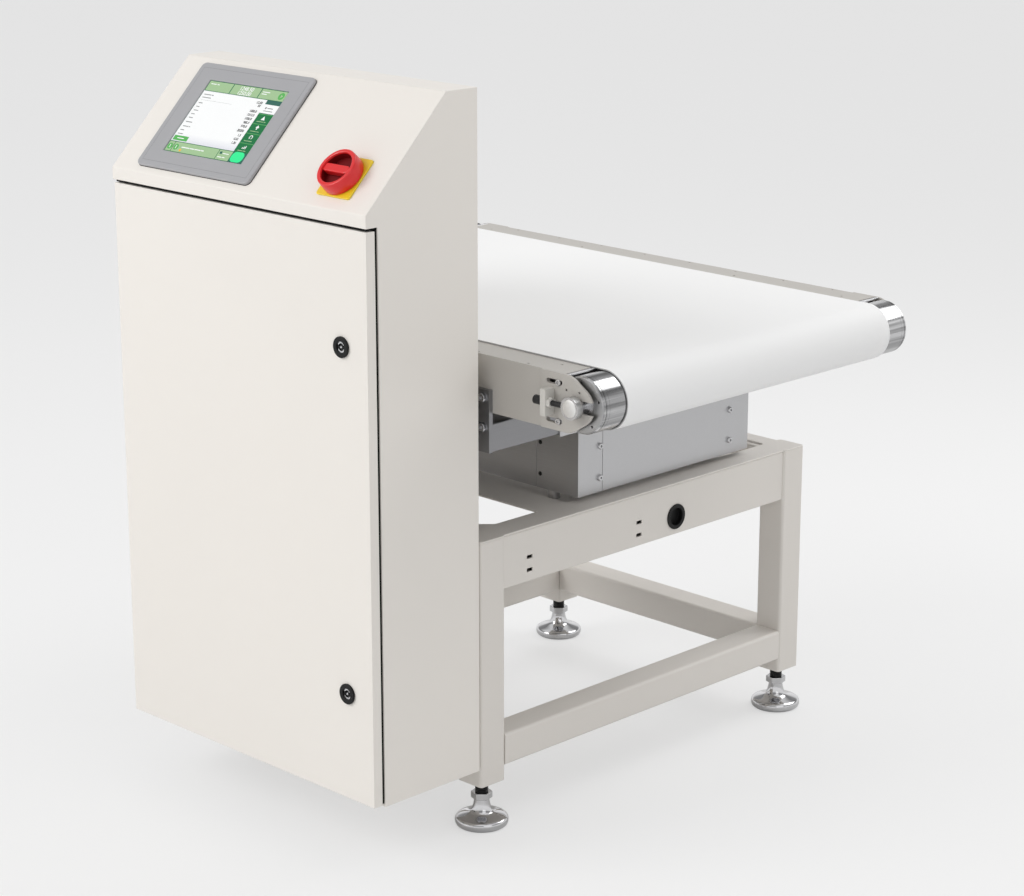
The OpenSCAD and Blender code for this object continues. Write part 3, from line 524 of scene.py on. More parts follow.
def rounded_rectangle(x0, y0, x1, y1, r, steps=8):
    points = []
    corners = ((x1 - r, y1 - r), (x0 + r, y1 - r), (x0 + r, y0 + r), (x1 - r, y0 + r))
    for (cx, cy), start in zip(corners, (0, 90, 180, 270)):
        for i in range(steps + 1):
            a = math.radians(start + 90 * i / steps)
            points.append((cx + r * math.cos(a), cy + r * math.sin(a)))
    return points


def ring_arc(radius, width, start, stop, steps=24):
    """The outline of a part of a flat ring, from one angle to another."""
    angles = [math.radians(start + (stop - start) * i / steps) for i in range(steps + 1)]
    rims = ((radius + width / 2, angles), (radius - width / 2, reversed(angles)))
    return [(r * math.cos(a), r * math.sin(a)) for r, turns in rims for a in turns]


def joined(pieces, name):
    """Several objects made one mesh, each keeping its own finish."""
    net = bmesh.new()
    finishes = []
    for piece in pieces:
        for material in piece.data.materials:
            if material not in finishes:
                finishes.append(material)
    for piece in pieces:
        shift = [finishes.index(material) for material in piece.data.materials]
        for polygon in piece.data.polygons:
            polygon.material_index = shift[polygon.material_index]
        net.from_mesh(piece.data)
    mesh = bpy.data.meshes.new(name)
    net.to_mesh(mesh)
    net.free()
    for material in finishes:
        mesh.materials.append(material)
    for piece in pieces:
        bpy.data.objects.remove(piece)
    return linked(name, mesh)


# Matrix of a piece whose outline is written in the frame's own X and Y
LEVEL = Matrix.Identity(4)
# The slanted panel: the rise and run of its face, its angle, and its lower edge
Y_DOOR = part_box("door")[0].y
SLANT_RISE = 0.151
SLANT_RUN = 0.149
SLANT = math.atan2(SLANT_RISE, SLANT_RUN)
SLANT_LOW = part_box("cabinet_hood")[1].z - SLANT_RISE


def on_panel(x, t):
    """Matrix of a point on the slanted panel: x across, t up the slope, z outwards, in millimetres."""
    at = Vector((x * MM, Y_DOOR + t * MM * math.cos(SLANT), SLANT_LOW + t * MM * math.sin(SLANT)))
    return Matrix.Translation(at) @ Matrix.Rotation(SLANT, 4, "X")


def facing(at, direction):
    """Matrix at a point, its z along a direction."""
    return Matrix.Translation(at) @ Vector(direction).to_track_quat("Z", "Y").to_matrix().to_4x4()


# ---------------------------------------------------------------- node-group tools


class Tree:
    """A geometry node group under construction."""

    def __init__(self, name, inputs):
        self.group = bpy.data.node_groups.new(name, "GeometryNodeTree")
        face = self.group.interface
        face.new_socket(name="Geometry", in_out="INPUT", socket_type="NodeSocketGeometry")
        for label, kind, value in inputs:
            socket = face.new_socket(name=label, in_out="INPUT", socket_type="NodeSocket" + kind)
            if value is not None:
                socket.default_value = value
        face.new_socket(name="Geometry", in_out="OUTPUT", socket_type="NodeSocketGeometry")
        self.source = self.group.nodes.new("NodeGroupInput")
        self.sink = self.group.nodes.new("NodeGroupOutput")

    def given(self, label):
        return self.source.outputs[label]

    def add(self, kind, settings=None, output=0, **values):
        node = self.group.nodes.new(kind)
        for key, value in (settings or {}).items():
            setattr(node, key, value)
        for key, value in values.items():
            numbered = key[0] == "i" and key[1:].isdigit()
            socket = node.inputs[int(key[1:]) if numbered else key.replace("_", " ")]
            for item in value if isinstance(value, list) else [value]:
                if isinstance(item, bpy.types.NodeSocket):
                    self.group.links.new(item, socket)
                else:
                    socket.default_value = item
        return node.outputs[output]

    def times(self, value, factor):
        return self.add("ShaderNodeMath", {"operation": "MULTIPLY"}, i0=value, i1=factor)

    def close(self, geometry):
        real = self.add("GeometryNodeRealizeInstances", {}, Geometry=geometry)
        done = self.add("GeometryNodeSetMaterial", {}, Geometry=real, Material=self.given("Material"))
        self.group.links.new(done, self.sink.inputs[0])


def screw_tree():
    """Heads on points: a stepped round head with a hexagon socket, turned to each point's aim."""
    tree = Tree(
        "screw_heads",
        [
            ("Head radius", "Float", 0.004),
            ("Head height", "Float", 0.0025),
            ("Socket radius", "Float", 0.0018),
            ("Material", "Material", None),
        ],
    )
    radius, height, socket = (tree.given(label) for label in ("Head radius", "Head height", "Socket radius"))
    body = tree.times(height, 0.72)

    def plug(sides, top, foot, tall, lift):
        """A round or hexagon plug that starts at a height over the point."""
        form = {"Vertices": sides, "Radius_Top": top, "Radius_Bottom": foot, "Depth": tall}
        cone = tree.add("GeometryNodeMeshCone", {"fill_type": "NGON"}, **form)
        up = tree.add("ShaderNodeCombineXYZ", {}, Z=lift)
        return tree.add("GeometryNodeTransform", {}, Geometry=cone, Translation=up)

    shank = plug(28, radius, radius, body, 0.0)
    crown = plug(28, tree.times(radius, 0.86), radius, tree.times(height, 0.28), body)
    head = tree.add("GeometryNodeJoinGeometry", {}, Geometry=[shank, crown])
    head = tree.add("GeometryNodeMergeByDistance", {}, Geometry=head, Distance=0.000005)
    key = plug(6, socket, socket, height, tree.times(height, 0.5))
    head = tree.add("GeometryNodeMeshBoolean", {"operation": "DIFFERENCE"}, Mesh_1=head, Mesh_2=key)
    aim = tree.add("GeometryNodeInputNamedAttribute", {"data_type": "FLOAT_VECTOR"}, Name="aim")
    turn = tree.add("FunctionNodeAlignRotationToVector", {"axis": "Z"}, Vector=aim)
    points = tree.given("Geometry")
    tree.close(tree.add("GeometryNodeInstanceOnPoints", {}, Points=points, Instance=head, Rotation=turn))
    return tree.group


def grow(made, group, coating, **values):
    """The mesh that a node group makes of an object, its inputs set by their names."""
    modifier = made.modifiers.new("grow", "NODES")
    modifier.node_group = group
    values["Material"] = finish(coating)
    for item in group.interface.items_tree:
        key = item.name.replace(" ", "_")
        if item.in_out == "INPUT" and key in values:
            modifier[item.identifier] = values[key]
    return taken(made)


def grown(group, points, aims, name, coating, **values):
    """Runs a node group on points that carry an aim, and keeps the result as a plain mesh."""
    mesh = bpy.data.meshes.new(name)
    mesh.from_pydata([tuple(p) for p in points], [], [])
    layer = mesh.attributes.new("aim", "FLOAT_VECTOR", "POINT")
    for entry, aim in zip(layer.data, aims):
        entry.vector = aim
    return finish_mesh(grow(linked(name, mesh), group, coating, **values), name, coating)


# ---------------------------------------------------------------- sizes and colours


def length(name, text, value):
    return bpy.props.FloatProperty(name=name, description=text, default=value, min=0.0, unit="LENGTH")


def tint(name, text, value):
    return bpy.props.FloatVectorProperty(
        name=name, description=text, default=value, size=3, min=0.0, max=1.0, subtype="COLOR"
    )


class FinishColours(bpy.types.PropertyGroup):
    """Colours of the finishes."""

    cabinet: tint("Cabinet", "Warm white powder coat of cabinet and door", (0.845, 0.808, 0.758))
    stand: tint("Stand", "Grey-beige powder coat of the stand", (0.76, 0.725, 0.68))
    conveyor: tint("Conveyor frame", "Warm grey coat of the side frames", (0.50, 0.478, 0.445))
    stainless: tint("Stainless sheet", "Ground sheet of the weigh-cell box", (0.60, 0.60, 0.61))
    beam: tint("Beams", "Grey of the cross beams", (0.34, 0.34, 0.352))
    chrome: tint("Chrome", "Feet", (0.62, 0.62, 0.63))
    roller: tint("Rollers", "Turned steel of the drums", (0.80, 0.80, 0.81))
    belt: tint("Belt", "Belt cover", (0.92, 0.92, 0.918))
    belt_edge: tint("Belt edge", "Cut edge of the belt", (0.42, 0.42, 0.42))
    bezel: tint("Bezel", "Frame of the display", (0.38, 0.38, 0.395))
    plate: tint("Switch plate", "Yellow back plate of the main switch", (0.86, 0.63, 0.02))
    knob: tint("Knob", "Red knob of the main switch", (0.76, 0.014, 0.017))
    # The knob's recess: a darker red that paints the shade inside it
    knob_inside: tint("Knob recess", "Dark red inside the knob", (0.17, 0.003, 0.005))
    black: tint("Black plastic", "Locks, plugs and glands", (0.008, 0.008, 0.008))
    steel: tint("Bright steel", "Screws, nuts and lock inserts", (0.62, 0.62, 0.63))


class EdgeSizes(bpy.types.PropertyGroup):
    """Small sizes that the dressing adds."""

    tube: length("Tube end edge", "Rounding of cut tube ends", 0.0008)
    sheet: length("Sheet edge", "Rounding of folded and cut sheet", 0.0006)
    fold: length("Fold", "Rounding of the cabinet's outer folds", 0.0009)
    screw: length("Screw head", "Radius of the small screw heads", 0.0050)
    bolt: length("Bolt head", "Radius of the bracket bolts", 0.007)


def sizes():
    return bpy.context.scene.checkweigher_sizes


def colours():
    return bpy.context.scene.checkweigher_colours


FINISHES = {}
PAGE_TONES = 6


def recipes():
    """Each finish by name: the function that makes it and what that is given after the name."""
    c = colours()
    made = {
        "cabinet coat": (powder_coat, c.cabinet, 1.0, 0.40),
        "stand coat": (powder_coat, c.stand, 1.1, 0.45),
        "frame coat": (powder_coat, c.conveyor, 0.9, 0.42),
        "box sheet": (brushed, c.stainless, "x", 0.34),
        "beam steel": (brushed, c.beam, "y", 0.42, 0.6),
        "plain steel": (brushed, c.steel, "x", 0.32, 0.5),
        "bed steel": (brushed, c.steel, "x", 0.38, 0.5),
        "upright steel": (brushed, c.steel, "z", 0.36, 0.7),
        "chrome": (chromed, c.chrome),
        "roller steel": (turned, c.roller, 0.14),
        "bright steel": (chromed, c.steel, 0.22),
        "collar steel": (chromed, (0.50, 0.50, 0.495), 0.34),
        "axle face": (chromed, (0.80, 0.795, 0.78), 0.42),
        "black plastic": (moulded, c.black, 0.46, 0.8, 0.0, 0.22),
        "rubber": (rubber, (0.02, 0.02, 0.02)),
        "bezel": (moulded, c.bezel, 0.42, 0.7),
        # A darker copy of the bezel's grey that paints the shade of its face's step
        "bezel line": (moulded, shade(c.bezel, 0.62), 0.5, 0.4),
        "yellow plate": (moulded, c.plate, 0.36, 0.4, 0.2),
        "red knob": (moulded, c.knob, 0.34, 0.4, 0.2),
        # A darker copy of the knob's red that paints the shade in its recess
        "dark red": (moulded, c.knob_inside, 0.5, 0.4, 0.0, 0.2),
        "belt cover": (belt_cover, c.belt, c.belt_edge),
        "block": (moulded, (0.62, 0.605, 0.57), 0.4, 0.6),
        "device grey": (moulded, (0.13, 0.15, 0.165), 0.5, 0.9),
        "device light": (moulded, (0.50, 0.51, 0.50), 0.5, 0.8),
        "terminal": (moulded, (0.42, 0.41, 0.36), 0.5, 0.8),
        "wire blue": (moulded, (0.03, 0.08, 0.30), 0.45, 0.4),
        "wire brown": (moulded, (0.09, 0.035, 0.015), 0.45, 0.4),
        "wire grey": (moulded, (0.30, 0.30, 0.31), 0.45, 0.4),
        "duct": (moulded, (0.34, 0.36, 0.38), 0.55, 0.7),
        "zinc": (brushed, (0.62, 0.60, 0.50), "x", 0.45, 0.5),
        "blacked": (moulded, (0.012, 0.012, 0.013), 0.36, 0.5, 0.0, 0.35),
        # Near-black that paints the shade in the door gap, the cover seams and vent slots, and is the bezel's
        # gasket
        "dark seam": (moulded, (0.006, 0.006, 0.006), 0.7, 0.5, 0.0, 0.1),
        "cell": (brushed, (0.70, 0.71, 0.73), "x", 0.36, 0.4),
        "screen white": (lit_screen, (0.87, 0.88, 0.88), 0.12),
        "screen mint": (lit_screen, (0.36, 0.54, 0.30), 0.06),
        "screen leaf": (lit_screen, (0.10, 0.42, 0.10), 0.12),
        "screen deep": (lit_screen, (0.006, 0.17, 0.05), 0.07),
        "screen teal": (lit_screen, (0.03, 0.13, 0.10), 0.10),
        "screen glow": (lit_screen, (0.03, 0.72, 0.26), 0.25),
        "screen ink": (lit_screen, (0.05, 0.055, 0.055), 0.0),
        "screen grey": (lit_screen, (0.26, 0.27, 0.27), 0.0),
        "screen amber": (lit_screen, (0.80, 0.42, 0.05), 0.15),
    }
    for i in range(PAGE_TONES):
        # The page grows a little darker towards its foot
        tone = (0.85 - 0.025 * i, 0.86 - 0.025 * i, 0.87 - 0.018 * i)
        made["page tone %d" % i] = (lit_screen, tone, 0.12)
    return made


def finish(name):
    """One material for each finish, made the first time it is asked for."""
    if name not in FINISHES:
        maker, *values = recipes()[name]
        FINISHES[name] = maker(name, *values)
    return FINISHES[name]


# ---------------------------------------------------------------- operators


class StandOperator(bpy.types.Operator):
    """Coats the stand and eases the cut ends of its tubes"""

    bl_idname = "checkweigher.stand"
    bl_label = "Stand"

    def execute(self, context):
        edge = sizes().tube / MM
        legs = ["leg_%s_%s" % (row, side) for row in ("front", "rear") for side in ("right", "left")]
        rails = ["upper_rail_" + side for side in ("right", "left", "front", "rear")]
        for node in legs + rails + ["lower_side_rails", "lower_cross_rails", "support_bars"]:
            eased(node, "stand coat", edge * 0.6)
        eased("top_plate", "stand coat", edge)
        eased("rail_plugs", "black plastic", 0.4)
        return {"FINISHED"}


class FeetOperator(bpy.types.Operator):
    """Turns the four levelling feet: domed pad, flared neck, hexagon and threaded stem"""

    bl_idname = "checkweigher.feet"
    bl_label = "Levelling feet"

    # Profile of the pad and its neck, in millimetres: radius, height
    PAD = [(0, 0), (34.5, 0), (36.6, 0.5), (38.4, 2.0), (39.6, 4.6), (40, 7.6), (39.9, 9.6), (39.4, 11.4)]
    PAD += [(38.4, 12.8), (36.8, 13.9), (34.6, 14.8), (31, 15.9), (27, 17.1), (23, 18.4), (19.6, 19.9)]
    PAD += [(17.2, 21.6), (15.8, 23.4), (14.7, 25.6), (13.7, 28.2), (12.8, 31.2), (12.0, 34.6)]
    PAD += [(11.5, 38.2), (11.2, 42), (0, 42)]
    # The hexagon's foot and top, half its width over flats, and how far it is turned
    NUT_LOW, NUT_TOP, NUT_HALF, NUT_TURN = 42.0, 52.0, 14, 15
    # The thread's root and crest, its pitch, where it ends and where the stem ends
    ROOT, CREST, PITCH, THREAD_END, STEM_END = 9.0, 9.95, 2.5, 138.0, 140.0

    def execute(self, context):
        corner = self.NUT_HALF / math.cos(math.pi / 6)
        turns = [math.radians(60 * i - self.NUT_TURN) for i in range(6)]
        hexagon = [(corner * math.cos(a), corner * math.sin(a)) for a in turns]
        thread = [(0, self.NUT_TOP)]
        height = self.NUT_TOP
        while height < self.THREAD_END:
            thread += [(self.ROOT, height), (self.CREST, height + 1.0), (self.CREST, height + 1.3)]
            height += self.PITCH
        thread += [(self.ROOT, self.THREAD_END), (8.2, self.STEM_END), (0, self.STEM_END)]
        for node in ("foot_front_right", "foot_front_left", "foot_rear_right", "foot_rear_left"):
            centre = middle(node)
            turn = Matrix.Translation((centre.x, centre.y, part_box(node)[0].z))
            base = lathe(self.PAD, 72, turn, "chrome", node + "_pad")
            nut = prism(hexagon, self.NUT_LOW, self.NUT_TOP, turn, "chrome", node + "_hex", 0.7)
            stem = lathe(thread, 40, turn, "blacked", node + "_stem")
            stand_for(joined([base, nut, stem], node + "_turned"), node)
        return {"FINISHED"}


def door_seals():
    """Near-black strips that paint the shade in the gap round the door: under the hood and on the side of the
    locks.
    """
    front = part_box("cabinet_floor")[0].y / MM
    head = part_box("cabinet_hood")[0].z / MM
    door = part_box("door")[0] / MM
    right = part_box("cabinet_sides")[1].x / MM - 2.2
    beside = oblong(right - 13.8, front - 3.2, right, front)
    side = prism(beside, door.z + 1, head - 0.2, LEVEL, "dark seam", "seal", 0.4)
    under = oblong(door.x + 2, door.y + 2.4, right, front)
    top = prism(under, head - 3.0, head - 0.05, LEVEL, "dark seam", "seal", 0.4)
    return joined([side, top], "door_seals")


class CabinetOperator(bpy.types.Operator):
    """Coats the cabinet and its door, with eased folds, gasket and hinges"""

    bl_idname = "checkweigher.cabinet"
    bl_label = "Cabinet and door"

    def execute(self, context):
        fold = sizes().fold / MM
        walls = ["cabinet_sides", "cabinet_back", "cabinet_floor", "cabinet_front", "cabinet_hood"]
        welded(walls, "cabinet_skin", "cabinet coat", fold, 3)
        eased("door", "cabinet coat", fold, 3)
        coat("door_gasket", "rubber")
        # Near-black strips paint the shade in the door's gap
        place_piece(door_seals(), "machine", "gasket_rubber")
        eased("door_hinges", "plain steel", 0.4)
        coat("cabinet_standoffs", "plain steel")
        eased("cable_glands", "black plastic", 0.5)
        return {"FINISHED"}


class LocksOperator(bpy.types.Operator):
    """Makes the quarter-turn locks: black ring with position marks and a bright insert"""

    bl_idname = "checkweigher.locks"
    bl_label = "Door locks"

    def execute(self, context):
        eased("lock_housings", "black plastic", 0.9, 3)
        for node in ("lock_cam_upper", "lock_cam_lower"):
            eased(node, "blacked", 0.3)
            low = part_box(node)[0]
            turn = facing(Vector((middle(node).x, low.y, low.z + 0.008)), (0, -1, 0))
            arcs = [ring_arc(6.6, 2.3, start, start + 124) for start in (28, 208)]
            bright = [prism(arc, -0.2, 0.5, turn, "bright steel", "arc", 0.15) for arc in arcs]
            pin = [(0, -0.2), (1.7, -0.2), (1.7, 0.4), (1.3, 0.8), (0, 0.9)]
            bright.append(lathe(pin, 24, turn, "bright steel", "pin"))
            place_piece(joined(bright, node + "_insert"), body_of_node(node), "lock_insert")
        return {"FINISHED"}


class PanelOperator(bpy.types.Operator):
    """Makes the display's bezel and lit page on the slanted panel"""

    bl_idname = "checkweigher.display"
    bl_label = "Display"

    # Half the bezel's width and height, its thickness and its middle on the panel, in millimetres
    HALF_W, HALF_H, THICK, PLACE = 126.0, 94.5, 5.0, (-102.0, 105.5)
    # How far the gasket shows round the bezel, how far in the fine step of its face runs, and the width of
    # the darker line that paints the step's shade
    GASKET, STEP_IN, STEP = 0.4, 9.0, 0.5
    # The page's width and height, and the level that its fields start from
    PAGE_W, PAGE_H, PAGE_LEVEL = 176.0, 130.0, 3.5

    def execute(self, context):
        turn = on_panel(*self.PLACE)
        eased("hmi_bezel", "bezel", 1.4, 3)
        coat("hmi_housing", "device grey")
        coat("hmi_glass", "black plastic")
        x, y = self.HALF_W + self.GASKET, self.HALF_H + self.GASKET
        rim = prism(rounded_rectangle(-x, -y, x, y, 9.4), 0.0, 0.7, turn, "dark seam", "bezel_gasket")
        place_piece(rim, "machine", "gasket_rubber")
        # A darker line round the face paints the shade of its step
        x, y = self.HALF_W - self.STEP_IN, self.HALF_H - self.STEP_IN
        sides = ((-x, -y, x, self.STEP - y), (-x, y - self.STEP, x, y))
        sides += ((-x, -y, self.STEP - x, y), (x - self.STEP, -y, x, y))
        line = [
            prism(oblong(*side), self.THICK, self.THICK + 0.06, turn, "bezel line", "line") for side in sides
        ]
        place_piece(joined(line, "bezel_line"), "machine", "bezel_grey")
        corner = Vector((1.0 - self.PAGE_W / 2, 0.5 - self.PAGE_H / 2, 0)) * MM
        page = screen_page(turn @ Matrix.Translation(corner), self.PAGE_W, self.PAGE_H, self.PAGE_LEVEL)
        place_piece(page, "machine", "screen_glass")
        return {"FINISHED"}


def screen_page(page, wide, high, level):
    """The lit page: fields, bars and figures in millimetres from its lower left corner."""
    parts = []
    layer_step = 0.05

    def shape(outline, colour, layer):
        low = level + layer_step * (layer - 1)
        parts.append(prism(outline, low, low + layer_step, page, colour, "field"))

    def field(x, y, w, h, colour, layer=1, r=0.0):
        box = (x, y, x + w, y + h)
        shape(rounded_rectangle(*box, r, 4) if r else oblong(*box), colour, layer)

    def disc(x, y, r, colour, layer):
        turns = [2 * math.pi * i / 24 for i in range(24)]
        shape([(x + r * math.cos(a), y + r * math.sin(a)) for a in turns], colour, layer)

    def figures(text, x, y, tall, colour, layer=3, right=False, weight=0.015):
        curve = bpy.data.curves.new("figures", "FONT")
        curve.body = text
        curve.size = tall * 1.35 * MM
        curve.align_x = "RIGHT" if right else "LEFT"
        curve.extrude = 0.02 * MM
        curve.offset = weight * tall * MM
        mesh = taken(linked("figures", curve))
        mesh.transform(page @ Matrix.Translation(Vector((x, y, level + layer_step * layer)) * MM))
        parts.append(finish_mesh(mesh, "figures", colour))

    def bars(x, y, lengths, colour, thick=1.3):
        for bar in lengths:
            field(x, y, bar, thick, colour, 4)
            x += bar + 1.2

    field(0, 0, wide, high, "screen teal", 1)
    # Header: three cells with the result in the middle
    for x, w in ((0.7, 54.6), (56.0, 62.4), (119.1, 56.2)):
        field(x, 111.6, w, 17.8, "screen deep", 2)
        field(x + 0.5, 112.1, w - 1.0, 16.8, "screen mint", 3)
    figures("1248.50", 72.0, 120.9, 7.0, "screen white", 4)
    figures("1250.00", 72.0, 112.9, 7.0, "screen white", 4)
    for x, y, w in ((6.0, 123.4, 12.0), (20.0, 123.4, 5.0), (123, 123.0, 16.0), (123, 119.4, 11.0)):
        field(x, y, w, 1.3, "screen white", 4)
    disc(166.0, 120.5, 6.2, "screen leaf", 4)
    shape([(164.6, 117.4), (169.6, 120.5), (164.6, 123.6)], "screen mint", 5)
    # Page with two groups of rows and a line below each group
    field(0.7, 19.0, 142.6, 92.0, "screen white", 2)
    for i in range(PAGE_TONES):
        field(0.7, 19.0, 142.6, 14.0 - 2.2 * i, "page tone %d" % i, 3 + 0.1 * i)
    labels = ((16, 4), (19,), (9,), (7,), (10,), (8,), (9,), (14,), (12, 3), (8,), (11,))
    values = "12.50 50 1000.0 1015.0 1000.0 985.0 970.0 20250 1.5 0.35 1.20".split()
    places = (104.0, 98.6, 88.4, 81.6, 74.8, 68.0, 61.2, 53.4, 45.4, 38.6, 31.8)
    for label, value, y in zip(labels, values, places):
        bars(6.0, y, label, "screen grey")
        figures(value, 137.0, y - 1.1, 4.2, "screen ink", 3, True, 0.045)
    field(6.0, 94.6, 70.0, 0.25, "screen grey", 3)
    field(3.0, 20.4, 32.0, 8.6, "screen leaf", 4, 1.2)
    field(11.0, 24.0, 15.0, 1.4, "screen white", 5)
    # Open tab and the column of buttons
    field(143.3, 88.5, 31.9, 15.4, "screen white", 2)
    disc(150.5, 97.6, 1.8, "screen grey", 3)
    field(154.0, 96.9, 12.0, 1.3, "screen grey", 3)
    field(149.0, 92.0, 19.0, 1.2, "screen grey", 3)
    for i in range(4):
        y = 70.6 - 17.3 * i
        field(144.0, y, 31.2, 16.5, "screen leaf", 2)
        field(144.0, y, 31.2, 15.6, "screen deep", 3)
        bars(149.5, y + 2.6, ((14, 4), (12, 5), (17,), (10, 6))[i], "screen mint", 1.1)
    shape([(155.5, 77.0), (163.5, 77.0), (159.5, 84.0)], "screen white", 4)
    arrow = [(158.4, 59.8), (160.6, 59.8), (160.6, 63.0), (163.4, 63.0)]
    shape(arrow + [(159.5, 67.2), (155.6, 63.0), (158.4, 63.0)], "screen white", 4)
    arc = [(159.5 + x, 46.0 + y) for x, y in ring_arc(3.0, 1.3, -60, 240, 20)]
    shape(arc, "screen white", 4)
    for x in (155.6, 158.6, 161.6):
        field(x, 25.4, 1.7, 2.2 + 1.6 * (x - 155.6) / 3, "screen white", 4)
    # Footer
    for x, w in ((0.7, 12.9), (14.0, 100.4), (114.8, 29.4)):
        field(x, 0.7, w, 17.6, "screen deep", 2)
        field(x + 0.4, 1.1, w - 0.8, 16.8, "screen mint", 3)
    for x in (7.2, 21.0):
        disc(x, 9.4, 5.2, "screen leaf", 4)
        field(x - 0.7, 6.6, 1.4, 5.6, "screen white", 5)
    disc(33.6, 5.0, 2.3, "screen amber", 4)
    bars(33.0, 9.6, (18, 9, 14, 6), "screen white", 1.6)
    field(118.0, 11.0, 5.0, 4.0, "screen teal", 4)
    bars(125.0, 11.6, (13,), "screen white", 1.3)
    bars(118.0, 5.0, (9, 6), "screen white", 1.3)
    field(145.4, 1.4, 26.0, 17.8, "screen glow", 4, 7.5)
    return joined(parts, "screen_page")


class SwitchOperator(bpy.types.Operator):
    """Makes the red rotary main switch with its recess and grip"""

    bl_idname = "checkweigher.main_switch"
    bl_label = "Main switch"

    def execute(self, context):
        turn = on_panel(195.0, 52.0)
        # Heights over the panel in millimetres: foot, floor of the recess, top, end of the stem
        low, floor, top, end = 3.3, 11.6, 24.3, -17.7
        # Radius of the recess, and how far the grip reaches from the middle
        well_r, tip = 24.8, 24.6
        eased("switch_plate", "yellow plate", 0.8, 3)
        coat("switch_body", "black plastic")
        skirt = [(5.0, end), (5.0, low), (30.6, low), (31.6, low + 0.5), (32.0, low + 1.6), (31.9, 14.0)]
        skirt += [(31.2, top - 1.6), (30.4, top - 0.4), (29.2, top), (26.6, top), (25.6, top - 0.5)]
        outer = lathe(skirt + [(25.2, top - 1.4), (well_r, floor)], 96, turn, "red knob", "knob_skirt")
        # The recess's floor and wall are a darker red that paints its shade
        well = [(well_r, floor), (24.4, floor - 0.4), (0, floor - 0.4)]
        well = lathe(well, 96, turn, "dark red", "knob_floor")
        stem = lathe([(5.0, end), (0, end)], 32, turn, "dark red", "knob_end")
        grip = [(-tip, -5.4), (-tip + 3.2, -6.4), (tip - 5.0, -6.4), (tip, -2.0)]
        grip += [(tip, 2.0), (tip - 5.0, 6.4), (-tip + 3.2, 6.4), (-tip, 5.4)]
        bar = prism(grip, floor - 0.2, top - 2.2, turn, "red knob", "knob_grip", 1.5)
        # The inner wall is darker than the rim, as painted shade in the recess
        wall = lathe([(25.05, top - 3.2), (24.7, floor)], 96, turn, "dark red", "knob_wall")
        made = joined([outer, well, stem, bar, wall], "switch_knob_moulded")
        place_piece(made, "knob", "switch_red", ["switch_knob"])
        return {"FINISHED"}


def lead(points, radius, colour, name):
    """A short bent wire through points in metres."""
    curve = bpy.data.curves.new(name, "CURVE")
    curve.dimensions = "3D"
    curve.bevel_depth = radius
    curve.bevel_resolution = 3
    curve.resolution_u = 6
    curve.use_fill_caps = True
    spline = curve.splines.new("BEZIER")
    spline.bezier_points.add(len(points) - 1)
    for knot, place in zip(spline.bezier_points, points):
        knot.co = place
        knot.handle_left_type = knot.handle_right_type = "AUTO"
    return finish_mesh(taken(linked(name, curve)), name, colour, 60)


# Heights of the two lower cable ducts over the mounting plate's foot, and of the upper one under its head
DUCT_LOW, DUCT_MIDDLE, DUCT_TOP = 0.155, 0.400, 0.035
# Distance between two terminals, the wires' colours, and the wires of each device with the duct they enter
TERMINAL_STEP = 0.018
WIRE_COLOURS = ("wire blue", "wire grey", "wire brown")
DEVICE_WIRES = (
    ("power_supply", DUCT_MIDDLE, 5),
    ("weigh_controller", DUCT_MIDDLE, 9),
    ("drum_inverter", DUCT_LOW, 5),
)


